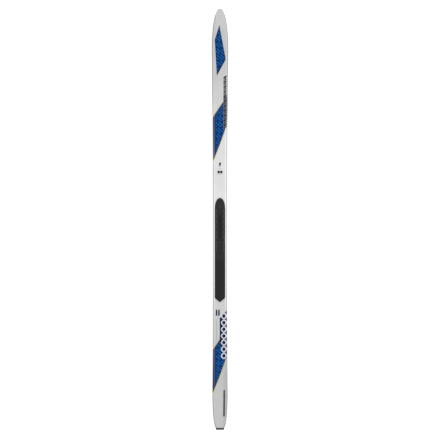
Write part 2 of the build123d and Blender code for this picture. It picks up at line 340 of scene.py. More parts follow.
def merged_copy(node: str) -> bpy.types.Mesh:
    """Copies a frame node's mesh with its points merged and its flat faces joined.

    Args:
        node: Name of the node.

    Returns:
        A new mesh.
    """
    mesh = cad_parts[node].data.copy()
    mesh.materials.clear()
    shell = bmesh.new()
    shell.from_mesh(mesh)
    bmesh.ops.remove_doubles(shell, verts=shell.verts, dist=0.01 * MM)
    bmesh.ops.dissolve_limit(
        shell, angle_limit=math.radians(1), verts=shell.verts, edges=shell.edges
    )
    shell.to_mesh(mesh)
    shell.free()
    for name in [attribute.name for attribute in mesh.attributes]:
        if name == "custom_normal":
            mesh.attributes.remove(mesh.attributes[name])
    return mesh


def turned_left(loop: list[Point]) -> list[Point]:
    """Orders a loop so that it runs anticlockwise.

    Args:
        loop: Corners in either order.

    Returns:
        The corners, anticlockwise.
    """
    pairs = zip(loop, loop[1:] + loop[:1])
    twice_area = sum(ax * by - bx * ay for (ax, ay), (bx, by) in pairs)
    return loop if twice_area > 0 else loop[::-1]


def stepped(loop: list[Point], step: float) -> list[Point]:
    """Adds points along the long sides of a loop.

    Args:
        loop: Corners of the loop.
        step: Longest stretch left without a point.

    Returns:
        The loop with more points.
    """
    result = []
    for (ax, ay), (bx, by) in zip(loop, loop[1:] + loop[:1]):
        count = max(1, math.ceil(math.hypot(bx - ax, by - ay) / step))
        shares = [i / count for i in range(count)]
        result.extend((ax + (bx - ax) * share, ay + (by - ay) * share) for share in shares)
    return result


def inset(loop: list[Point], amount: float) -> list[Point]:
    """Moves an anticlockwise loop inwards.

    Args:
        loop: Points of the loop, close together.
        amount: How far each point moves.

    Returns:
        The moved loop, closed by its first point.
    """
    result = []
    for before, (x, y), after in zip(loop[-1:] + loop[:-1], loop, loop[1:] + loop[:1]):
        dx, dy = after[0] - before[0], after[1] - before[1]
        reach = math.hypot(dx, dy)
        result.append((x - dy / reach * amount, y + dx / reach * amount))
    return result + result[:1]


@dataclass(frozen=True)
class Rim:
    """Rounded rim along a line in plan.

    Attributes:
        line: Plan points of the rim.
        radius: Radius of the rounding.
    """

    line: list[Point]
    radius: float

    def distance(self, x: float, y: float) -> float:
        """Distance to the line.

        Args:
            x: Place across the ski.
            y: Place along the ski.

        Returns:
            Shortest distance in plan.
        """
        best = math.inf
        for (ax, ay), (bx, by) in zip(self.line, self.line[1:]):
            dx, dy = bx - ax, by - ay
            share = ((x - ax) * dx + (y - ay) * dy) / max(dx * dx + dy * dy, 1e-18)
            share = clamp(share)
            best = min(best, math.hypot(x - ax - dx * share, y - ay - dy * share))
        return best

    def drop(self, x: float, y: float) -> float:
        """How far the rounded surface lies below its full height at a plan point.

        Args:
            x: Place across the ski.
            y: Place along the ski.

        Returns:
            0 away from the rim, the full radius on it.
        """
        away = max(0.0, self.radius - self.distance(x, y))
        return self.radius - math.sqrt(self.radius**2 - away**2)

    def rings(self, loop: list[Point]) -> list[list[Point]]:
        """Lines that carry the rounding.

        Args:
            loop: Outline that the rim belongs to.

        Returns:
            Inset copies of the outline, closer together near it.
        """
        close = stepped(turned_left(loop), 1.2 * MM)
        return [inset(close, self.radius * share) for share in (0.12, 0.35, 0.65, 1.0)]


@dataclass
class Patch:
    """A sheet cut along outlines in plan and lifted by height rules into a closed solid.

    Attributes:
        outline: Plan outline of the sheet.
        upper: Height of the upper face.
        lower: Height of the lower face, or None for a sheet of even thickness.
        depth: Thickness of a sheet of even thickness.
        regions: Outlines of printed or cut regions, in the order that they are laid.
        labels: One label for each region. A label of None cuts the region away.
        guides: Open lines that the mesh's edges follow.
        fill: Loose plan points that carry the curvature.
        skirt: Height that the rim is drawn down to before it gets its thickness.
        step: Longest stretch of an outline before it gets another point.
    """

    outline: list[Point]
    upper: Rule
    lower: Rule | None = None
    depth: float = 0.5 * MM
    regions: list[list[Point]] = field(default_factory=list)
    labels: list[str | None] = field(default_factory=list)
    guides: list[list[Point]] = field(default_factory=list)
    fill: list[Point] = field(default_factory=list)
    skirt: Rule | None = None
    step: float = 4 * MM

    def cut(self) -> tuple[list[Point], list[tuple[tuple[int, ...], str]]]:
        """Cuts the plan into faces.

        Returns:
            Plan points, and each face's point numbers with its label.
        """
        points: list[Vector] = []
        edges: list[tuple[int, int]] = []
        faces: list[list[int]] = []

        def lay(line: list[Point]) -> list[int]:
            """Adds points in millimetres, where the cutter is most exact."""
            first = len(points)
            points.extend(Vector((x / MM, y / MM)) for x, y in line)
            return list(range(first, len(points)))

        for loop in [self.outline, *self.regions]:
            faces.append(lay(stepped(turned_left(loop), self.step)))
        for line in self.guides:
            numbers = lay(line)
            edges.extend(zip(numbers, numbers[1:]))
        lay(self.fill)
        places, _, cells, _, _, sources = delaunay_2d_cdt(points, edges, faces, 0, 1e-4)
        kept = []
        for cell, source in zip(cells, sources):
            if 0 not in source:
                continue
            top = max(source)
            label = "ground" if top == 0 else self.labels[top - 1]
            if label is not None:
                kept.append((tuple(cell), label))
        return [(p.x * MM, p.y * MM) for p in places], kept

    def solids(self) -> dict[str, Solid]:
        """Builds one closed solid for each label.

        Returns:
            Points and faces of each label's solid.
        """
        plan, cells = self.cut()
        sheet = bmesh.new()
        corners = [sheet.verts.new((x, y, self.upper(x, y))) for x, y in plan]
        label_of: dict[bmesh.types.BMFace, str] = {}
        for cell, label in cells:
            face = sheet.faces.new([corners[i] for i in cell])
            label_of[face] = label
        if self.skirt is not None:
            self.draw_down(sheet, label_of)
        sheet.normal_update()
        inner = {}
        for vert in sheet.verts:
            if self.lower is None:
                inner[vert] = vert.co - vert.normal * self.depth
            else:
                inner[vert] = Vector((vert.co.x, vert.co.y, self.lower(vert.co.x, vert.co.y)))
        result = {}
        for label in sorted(set(label_of.values())):
            members = [face for face in sheet.faces if label_of[face] == label]
            result[label] = self.closed(members, inner)
        sheet.free()
        return result

    def draw_down(
        self, sheet: bmesh.types.BMesh, label_of: dict[bmesh.types.BMFace, str]
    ) -> None:
        """Draws the long rims down into side walls with the neighbouring print.

        Args:
            sheet: The lifted sheet.
            label_of: Label of each face, which gets the new faces too.
        """
        margin = 1e-6
        last = max(y for _, y in self.outline) - margin
        first = min(y for _, y in self.outline) + margin
        lowered: dict[bmesh.types.BMVert, bmesh.types.BMVert] = {}
        for edge in [e for e in sheet.edges if len(e.link_faces) == 1]:
            face = edge.link_faces[0]
            ends = edge.verts
            if all(v.co.y > last for v in ends) or all(v.co.y < first for v in ends):
                continue
            for vert in ends:
                if vert not in lowered:
                    foot = (vert.co.x, vert.co.y, self.skirt(vert.co.x, vert.co.y))
                    lowered[vert] = sheet.verts.new(foot)
            loop = next(item for item in face.loops if item.edge == edge)
            start, stop = loop.vert, loop.link_loop_next.vert
            wall = sheet.faces.new([stop, start, lowered[start], lowered[stop]])
            label_of[wall] = label_of[face]

    @staticmethod
    def closed(
        members: list[bmesh.types.BMFace], inner: dict[bmesh.types.BMVert, Vector]
    ) -> Solid:
        """Closes faces of a sheet into a solid with a lower side and rims.

        Args:
            members: Faces of the upper side.
            inner: Lower place of each point.

        Returns:
            Points and faces of the solid.
        """
        number: dict[bmesh.types.BMVert, int] = {}
        upper_points: list[Vector] = []
        lower_points: list[Vector] = []
        for face in members:
            for vert in face.verts:
                if vert not in number:
                    number[vert] = len(upper_points)
                    upper_points.append(vert.co.copy())
                    lower_points.append(inner[vert])
        count = len(upper_points)
        directed = set()
        faces = []
        for face in members:
            ring = [number[vert] for vert in face.verts]
            faces.append(tuple(ring))
            faces.append(tuple(count + i for i in reversed(ring)))
            directed.update(zip(ring, ring[1:] + ring[:1]))
        for start, stop in sorted(directed):
            if (stop, start) not in directed:
                faces.append((stop, start, count + start, count + stop))
        return upper_points + lower_points, faces


def mesh_of(name: str, parts: list[tuple[Solid, bpy.types.Material]]) -> bpy.types.Mesh:
    """Joins solids, each with its own material, into one mesh.

    Args:
        name: Name of the mesh.
        parts: Solids with the material of each.

    Returns:
        The mesh.
    """
    points: list[Vector] = []
    faces: Faces = []
    slots: list[int] = []
    mesh = bpy.data.meshes.new(name)
    for slot, ((part_points, part_faces), material) in enumerate(parts):
        start = len(points)
        points.extend(part_points)
        faces.extend(tuple(start + i for i in face) for face in part_faces)
        slots.extend([slot] * len(part_faces))
        mesh.materials.append(material)
    mesh.from_pydata(points, [], faces)
    mesh.polygons.foreach_set("material_index", slots)
    mesh.validate()
    return smooth_mesh(mesh)


# ---------------------------------------------------------------- finishes


class NodeRig:
    """Small helper that adds and wires nodes in one tree."""

    def __init__(self, tree: bpy.types.NodeTree) -> None:
        """Keeps the tree that the nodes go into."""
        self.tree = tree

    def add(self, kind: str, **settings: object) -> bpy.types.Node:
        """Adds a node.

        Args:
            kind: Blender's node type.
            settings: Properties to set on it.

        Returns:
            The node.
        """
        node = self.tree.nodes.new(kind)
        for name, value in settings.items():
            setattr(node, name, value)
        return node

    def wire(self, source: bpy.types.NodeSocket, target: bpy.types.NodeSocket) -> None:
        """Links an output to an input."""
        self.tree.links.new(source, target)

    def feed(self, slot: bpy.types.NodeSocket, value: object) -> None:
        """Gives an input its value.

        Args:
            slot: The input.
            value: Socket to link, colour, or number.
        """
        if isinstance(value, bpy.types.NodeSocket):
            self.wire(value, slot)
        else:
            slot.default_value = (*value, 1.0) if isinstance(value, tuple) else value

    def math(self, operation: str, *values: object) -> bpy.types.NodeSocket:
        """Adds a Math node.

        Args:
            operation: Math operation.
            values: Numbers or sockets for its inputs.

        Returns:
            Its output socket.
        """
        node = self.add("ShaderNodeMath", operation=operation)
        for slot, value in zip(node.inputs, values):
            self.feed(slot, value)
        return node.outputs[0]

    def clamped(self, value: bpy.types.NodeSocket) -> bpy.types.NodeSocket:
        """Keeps a number between 0 and 1."""
        return self.math("MINIMUM", self.math("MAXIMUM", value, 0.0), 1.0)

    def split(self, vector: bpy.types.NodeSocket) -> list[bpy.types.NodeSocket]:
        """Parts a vector into x, y and z.

        Args:
            vector: Socket of the vector.

        Returns:
            One socket for each direction.
        """
        node = self.add("ShaderNodeSeparateXYZ")
        self.wire(vector, node.inputs[0])
        return list(node.outputs)

    def noise(
        self, place: bpy.types.NodeSocket, scale: object, detail: float = 2.0
    ) -> bpy.types.NodeSocket:
        """Adds soft noise.

        Args:
            place: Where the noise is read.
            scale: Fineness, as a number or socket.
            detail: Depth of its finer layers.

        Returns:
            Its value.
        """
        node = self.add("ShaderNodeTexNoise")
        self.wire(place, node.inputs["Vector"])
        self.feed(node.inputs["Scale"], scale)
        node.inputs["Detail"].default_value = detail
        return node.outputs[0]

    def cells(self, place: bpy.types.NodeSocket, scale: float) -> bpy.types.NodeSocket:
        """Adds small cells.

        Args:
            place: Where the cells are read.
            scale: Their fineness.

        Returns:
            Distance from each cell's middle.
        """
        node = self.add("ShaderNodeTexVoronoi")
        self.wire(place, node.inputs["Vector"])
        node.inputs["Scale"].default_value = scale
        return node.outputs["Distance"]

    def mix(self, share: object, first: object, second: object) -> bpy.types.NodeSocket:
        """Mixes two colours.

        Args:
            share: Number or socket: 0 gives the first colour.
            first: Colour or socket.
            second: Colour or socket.

        Returns:
            The mixed colour's socket.
        """
        node = self.add("ShaderNodeMix", data_type="RGBA")
        pairs = ((node.inputs[0], share), (node.inputs[6], first), (node.inputs[7], second))
        for slot, value in pairs:
            self.feed(slot, value)
        return node.outputs[2]


def make_group(
    name: str, inputs: dict[str, float], outputs: tuple[str, ...]
) -> tuple[bpy.types.NodeTree, NodeRig, bpy.types.Node, bpy.types.Node]:
    """Starts a shader node group with a Position input and named numbers.

    Args:
        name: Name of the group.
        inputs: Number inputs with their defaults.
        outputs: Names of the number outputs.

    Returns:
        The group, its rig, and its input and output nodes.
    """
    tree = bpy.data.node_groups.new(name, "ShaderNodeTree")
    tree.interface.new_socket("Position", in_out="INPUT", socket_type="NodeSocketVector")
    for label, value in inputs.items():
        socket = tree.interface.new_socket(label, in_out="INPUT", socket_type="NodeSocketFloat")
        socket.default_value = value
    for label in outputs:
        tree.interface.new_socket(label, in_out="OUTPUT", socket_type="NodeSocketFloat")
    rig = NodeRig(tree)
    return tree, rig, rig.add("NodeGroupInput"), rig.add("NodeGroupOutput")


class Effects:
    """Shader node groups that several finishes share."""

    def __init__(self) -> None:
        """Builds each group once."""
        self.grain = self.build_grain()
        self.scuffs = self.build_scuffs()
        self.weave = self.build_weave()
        self.fade = self.build_fade()

    def build_grain(self) -> bpy.types.NodeTree:
        """Fine moulded or pearly grain.

        Returns:
            Group with a Height and a slower Shade.
        """
        tree, rig, source, target = make_group("fine_grain", {"Scale": 900.0}, ("Height", "Shade"))
        slow_scale = 14.0
        place = source.outputs["Position"]
        rig.wire(rig.noise(place, source.outputs["Scale"], 3.0), target.inputs["Height"])
        rig.wire(rig.noise(place, slow_scale), target.inputs["Shade"])
        return tree

    def build_scuffs(self) -> bpy.types.NodeTree:
        """Thin scratches along the ski, in scattered patches.

        Returns:
            Group with a Mask that is 1 in a scratch.
        """
        tree, rig, source, target = make_group("scuffs", {"Amount": 0.5}, ("Mask",))
        line_scale, line_level, line_stretch = 1500.0, 0.66, 0.035
        patch_scale, patch_level = 22.0, 0.52
        stretch = rig.add("ShaderNodeVectorMath", operation="MULTIPLY")
        stretch.inputs[1].default_value = (1.0, line_stretch, 1.0)
        rig.wire(source.outputs["Position"], stretch.inputs[0])
        lines = rig.noise(stretch.outputs[0], line_scale)
        patches = rig.noise(source.outputs["Position"], patch_scale)
        sharp = rig.math("GREATER_THAN", lines, line_level)
        patch = rig.math("GREATER_THAN", patches, patch_level)
        both = rig.math("MULTIPLY", sharp, patch)
        rig.wire(rig.math("MULTIPLY", both, source.outputs["Amount"]), target.inputs["Mask"])
        return tree

    def build_weave(self) -> bpy.types.NodeTree:
        """Two sets of crossing diagonal bands, as in a twill.

        Returns:
            Group with a Mask of the upper bands and a fine Thread height.
        """
        tree, rig, source, target = make_group("twill", {"Pitch": 0.014}, ("Mask", "Thread"))
        lean, counter_lean, band_half = 0.95, 1.6, 0.25
        dash_pitches, dash_share, row_offset = 6.0, 0.82, 0.37
        thread_pitch = 1.3 * MM
        across, along, _ = rig.split(source.outputs["Position"])
        slant = rig.math("ADD", along, rig.math("MULTIPLY", across, lean))
        cross = rig.math("SUBTRACT", along, rig.math("MULTIPLY", across, counter_lean))
        turns = rig.math("DIVIDE", slant, source.outputs["Pitch"])
        row = rig.math("FLOOR", turns)
        stripe = rig.math("ABSOLUTE", rig.math("SUBTRACT", rig.math("FRACT", turns), 0.5))
        bright = rig.math("LESS_THAN", stripe, band_half)
        dash_length = rig.math("MULTIPLY", source.outputs["Pitch"], dash_pitches)
        offset = rig.math("MULTIPLY", row, row_offset)
        steps = rig.math("ADD", rig.math("DIVIDE", cross, dash_length), offset)
        dash = rig.math("LESS_THAN", rig.math("FRACT", steps), dash_share)
        rig.wire(rig.math("MULTIPLY", bright, dash), target.inputs["Mask"])
        thread = rig.math("SINE", rig.math("MULTIPLY", cross, 2 * math.pi / thread_pitch))
        rig.wire(thread, target.inputs["Thread"])
        return tree

    def build_fade(self) -> bpy.types.NodeTree:
        """Slow change of tone along the ski that is partly painted shade on the raised ends, and a painted
        shade on the right of the tail.

        Returns:
            Group with a Share that is 1 in the middle and 0 at the ends, and a Shade that is the painted
            shade on the right of the tail.
        """
        tree, rig, source, target = make_group("length_fade", {"Reach": 0.6}, ("Share", "Shade"))
        centre, fade_run = 0.1, 0.4
        # Painted shade: the right of the tail is darkened as if it lay in shade.
        right_from, right_run = 9 * MM, 16 * MM
        tail_from, tail_run = -0.5, 0.12
        across, along, _ = rig.split(source.outputs["Position"])
        place = rig.math("ABSOLUTE", rig.math("SUBTRACT", along, centre))
        left_over = rig.math("SUBTRACT", source.outputs["Reach"], place)
        rig.wire(rig.clamped(rig.math("DIVIDE", left_over, fade_run)), target.inputs["Share"])
        right = rig.math("DIVIDE", rig.math("SUBTRACT", across, right_from), right_run)
        tail = rig.math("DIVIDE", rig.math("SUBTRACT", tail_from, along), tail_run)
        shade = rig.math("MULTIPLY", rig.clamped(right), rig.clamped(tail))
        rig.wire(shade, target.inputs["Shade"])
        return tree


EFFECTS = Effects()


@dataclass(frozen=True)
class Finish:
    """Base of every finish: a Principled surface with grain and wear.

    Attributes:
        name: Name of the material.
        colour: Linear colour.
        rough: Roughness.
        coat: Weight of the clear coat.
        grain_scale: Fineness of the grain.
        bump: Depth of the grain.
        wear: Strength of the scratches.
        wear_colour: Colour inside a scratch; in moulded finishes also the rubbed tone and painted highlight
            on proud places.
        gloss: Level of the reflection.
    """

    name: str
    colour: Rgb
    rough: float = 0.45
    coat: float = 0.0
    grain_scale: float = 900.0
    bump: float = 0.08
    wear: float = 0.35
    wear_colour: Rgb = (0.5, 0.5, 0.5)
    gloss: float = 0.35

    def surface(self, rig: NodeRig, position: bpy.types.NodeSocket) -> tuple[object, object]:
        """Colour and height that one kind of finish adds.

        Args:
            rig: Rig of the material.
            position: Object coordinates.

        Returns:
            Colour value or socket, and height socket or None.
        """
        return self.colour, None

    def build(self) -> bpy.types.Material:
        """Makes the material.

        Returns:
            The material.
        """
        material = bpy.data.materials.new(self.name)
        material.use_nodes = True
        rig = NodeRig(material.node_tree)
        shader = material.node_tree.nodes["Principled BSDF"]
        place = rig.add("ShaderNodeTexCoord").outputs["Object"]
        grain = self.effect(rig, EFFECTS.grain, place, Scale=self.grain_scale)
        scuffs = self.effect(rig, EFFECTS.scuffs, place, Amount=self.wear)
        colour, height = self.surface(rig, place)
        shade = rig.math("MULTIPLY_ADD", grain.outputs["Shade"], 0.16, 0.92)
        tint = rig.add("ShaderNodeMix", data_type="RGBA", blend_type="MULTIPLY")
        tint.inputs[0].default_value = 1.0
        rig.feed(tint.inputs[6], colour)
        rig.wire(shade, tint.inputs[7])
        worn = rig.mix(scuffs.outputs["Mask"], tint.outputs[2], self.wear_colour)
        rig.wire(worn, shader.inputs["Base Color"])
        rough = rig.math("MULTIPLY_ADD", grain.outputs["Height"], 0.12, self.rough - 0.06)
        rough = rig.math("MULTIPLY_ADD", scuffs.outputs["Mask"], 0.25, rough)
        rig.wire(rough, shader.inputs["Roughness"])
        shader.inputs["Coat Weight"].default_value = self.coat
        shader.inputs["Specular IOR Level"].default_value = self.gloss
        shader.inputs["Coat Roughness"].default_value = 0.08
        bump = rig.add("ShaderNodeBump")
        bump.inputs["Strength"].default_value = self.bump
        bump.inputs["Distance"].default_value = 0.1 * MM
        total = rig.math("SUBTRACT", grain.outputs["Height"], scuffs.outputs["Mask"])
        if height is not None:
            total = rig.math("ADD", total, height)
        rig.wire(total, bump.inputs["Height"])
        rig.wire(bump.outputs[0], shader.inputs["Normal"])
        return material

    @staticmethod
    def effect(
        rig: NodeRig, group: bpy.types.NodeTree, place: bpy.types.NodeSocket, **values: float
    ) -> bpy.types.Node:
        """Places a shared effect in a material.

        Args:
            rig: Rig of the material.
            group: The effect's group.
            place: Object coordinates.
            values: Values of its named inputs.

        Returns:
            The group node.
        """
        node = rig.add("ShaderNodeGroup", node_tree=group)
        rig.wire(place, node.inputs["Position"])
        for name, value in values.items():
            node.inputs[name].default_value = value
        return node


@dataclass(frozen=True)
class FilmFinish(Finish):
    """Printed gloss film whose ground tone darkens towards tip and tail, partly its own tone and partly
    painted shade on the raised ends.

    Attributes:
        end_colour: Colour at the ends of the ski, darkened partly by painted shade.
        streak: Strength of the slanted streaks.
        painted_tail_shade: Strength of the painted shade on the right of the tail.
        darkening: How dark the streaks and the painted shade are, as a share of the end colour.
    """

    rough: float = 0.34
    coat: float = 0.06
    gloss: float = 0.22
    grain_scale: float = 2200.0
    bump: float = 0.03
    wear: float = 0.12
    end_colour: Rgb = (0.45, 0.46, 0.47)
    streak: float = 0.12
    painted_tail_shade: float = 0.3
    darkening: float = 0.45

    def surface(self, rig: NodeRig, position: bpy.types.NodeSocket) -> tuple[object, object]:
        """Fades the ground tone along the ski, partly as painted shade, darkens the right of the tail with
        painted shade and brushes it with faint slanted streaks.
        """
        fade = self.effect(rig, EFFECTS.fade, position)
        tone = rig.mix(fade.outputs["Share"], self.end_colour, self.colour)
        slanted = rig.add("ShaderNodeMapping")
        slanted.inputs["Rotation"].default_value = (0, 0, math.radians(-35))
        slanted.inputs["Scale"].default_value = (60.0, 7.0, 7.0)
        rig.wire(position, slanted.inputs["Vector"])
        streaks = rig.math("MULTIPLY", rig.noise(slanted.outputs[0], 1.0), self.streak)
        # Painted shade on the right of the tail, with the streaks added.
        shade = rig.math("MULTIPLY_ADD", fade.outputs["Shade"], self.painted_tail_shade, streaks)
        darker = tuple(part * self.darkening for part in self.end_colour)
        return rig.mix(shade, tone, darker), None


@dataclass(frozen=True)
class WeaveFinish(Finish):
    """Film printed or laid with a crossing twill.

    Attributes:
        second: Colour of the lighter bands.
        pitch: Distance between bands.
    """

    rough: float = 0.3
    coat: float = 0.06
    gloss: float = 0.2
    bump: float = 0.05
    wear: float = 0.1
    second: Rgb = (0.01, 0.1, 0.4)
    pitch: float = 14 * MM

    def surface(self, rig: NodeRig, position: bpy.types.NodeSocket) -> tuple[object, object]:
        """Lays the two colours of the twill."""
        weave = self.effect(rig, EFFECTS.weave, position, Pitch=self.pitch)
        return rig.mix(weave.outputs["Mask"], self.colour, self.second), weave.outputs["Thread"]


@dataclass(frozen=True)
class WoodFinish(Finish):
    """Light core wood with its grain along the ski.

    Attributes:
        dark: Colour of the darker fibres.
    """

    rough: float = 0.7
    dark: Rgb = (0.32, 0.2, 0.1)

    def surface(self, rig: NodeRig, position: bpy.types.NodeSocket) -> tuple[object, object]:
        """Draws long fibres."""
        stretch = rig.add("ShaderNodeVectorMath", operation="MULTIPLY")
        stretch.inputs[1].default_value = (260.0, 4.0, 260.0)
        rig.wire(position, stretch.inputs[0])
        fibre = rig.noise(stretch.outputs[0], 1.0, 4.0)
        return rig.mix(fibre, self.dark, self.colour), fibre


@dataclass(frozen=True)
class SoleFinish(Finish):
    """Sintered sole with a stone-ground structure of fine lines along the ski.

    Attributes:
        line_pitch: Distance between the ground lines.
    """

    rough: float = 0.38
    grain_scale: float = 1500.0
    bump: float = 0.2
    wear: float = 0.2
    line_pitch: float = 0.7 * MM

    def surface(self, rig: NodeRig, position: bpy.types.NodeSocket) -> tuple[object, object]:
        """Adds the ground lines."""
        turn = rig.math("MULTIPLY", rig.split(position)[0], 2 * math.pi / self.line_pitch)
        return self.colour, rig.math("SINE", turn)


@dataclass(frozen=True)
class FoamFinish(Finish):
    """Closed-cell foam or pebbled rubber.

    Attributes:
        cell_scale: Fineness of the cells.
        cell_tone: Tone between cells, as a share of the colour.
    """

    rough: float = 0.75
    bump: float = 0.6
    wear: float = 0.1
    cell_scale: float = 700.0
    cell_tone: float = 0.75

    def surface(self, rig: NodeRig, position: bpy.types.NodeSocket) -> tuple[object, object]:
        """Draws the cells."""
        cells = rig.cells(position, self.cell_scale)
        darker = tuple(part * self.cell_tone for part in self.colour)
        return rig.mix(cells, self.colour, darker), cells


@dataclass(frozen=True)
class MouldFinish(Finish):
    """Moulded plastic whose proud places are lighter, partly as rubbed wear and partly as a painted
    highlight, set for the plate's rail tops.

    Attributes:
        proud: Height where the rubbed tone and painted highlight start.
        proud_run: Rise over which it reaches full strength.
        rub_and_highlight_scale: Fineness of the rubbed and highlighted patches.
        pebble_scale: Fineness of the pebbled grain.
    """

    rough: float = 0.45
    bump: float = 0.3
    grain_scale: float = 1400.0
    proud: float = 51 * MM
    proud_run: float = 0.7 * MM
    rub_and_highlight_scale: float = 120.0
    pebble_scale: float = 1100.0

    def surface(self, rig: NodeRig, position: bpy.types.NodeSocket) -> tuple[object, object]:
        """Lightens the proud places as rubbed wear and painted highlight, and adds a pebbled grain."""
        above = rig.math("SUBTRACT", rig.split(position)[2], self.proud)
        share = rig.clamped(rig.math("DIVIDE", above, self.proud_run))
        # Painted highlight and rubbed wear on the proud places.
        rub_and_highlight = rig.math("MULTIPLY", share, rig.noise(position, self.rub_and_highlight_scale))
        pebbles = rig.cells(position, self.pebble_scale)
        return rig.mix(rub_and_highlight, self.colour, self.wear_colour), pebbles


def plain_film(name: str, colour: Rgb) -> FilmFinish:
    """Film of one colour from tip to tail."""
    return FilmFinish(name, colour, end_colour=colour)


class Ink(Enum):
    """Finishes of the printed film."""

    # The darker end colours are partly painted shade on the raised tip and tail.
    GROUND = FilmFinish("film_pearl", (0.82, 0.82, 0.825), end_colour=(0.6, 0.6, 0.6))
    # The grey edge bands are painted shade: they darken the sloped sides as if they lay in shadow.
    RIM = FilmFinish("film_edge_grey", (0.27, 0.27, 0.275), end_colour=(0.27, 0.27, 0.27))
    BLUE = WeaveFinish("film_blue_twill", (0.002, 0.026, 0.14), second=(0.008, 0.12, 0.37))
    NAVY = plain_film("film_navy", (0.012, 0.02, 0.085))
    STEEL = plain_film("film_steel_blue", (0.06, 0.1, 0.27))
    SLATE = plain_film("film_slate", (0.07, 0.072, 0.125))
    BLACK = plain_film("film_black", (0.012, 0.012, 0.016))
    YELLOW = FilmFinish("film_yellow", (0.8, 0.6, 0.16), end_colour=(0.75, 0.55, 0.15))
    SILVER = plain_film("film_silver", (0.3, 0.31, 0.34))
    WHITE = FilmFinish("film_white", (0.8, 0.8, 0.82), end_colour=(0.74, 0.75, 0.76))
    GREY = plain_film("film_grey", (0.38, 0.38, 0.4))


# ---------------------------------------------------------------- topsheet and its print


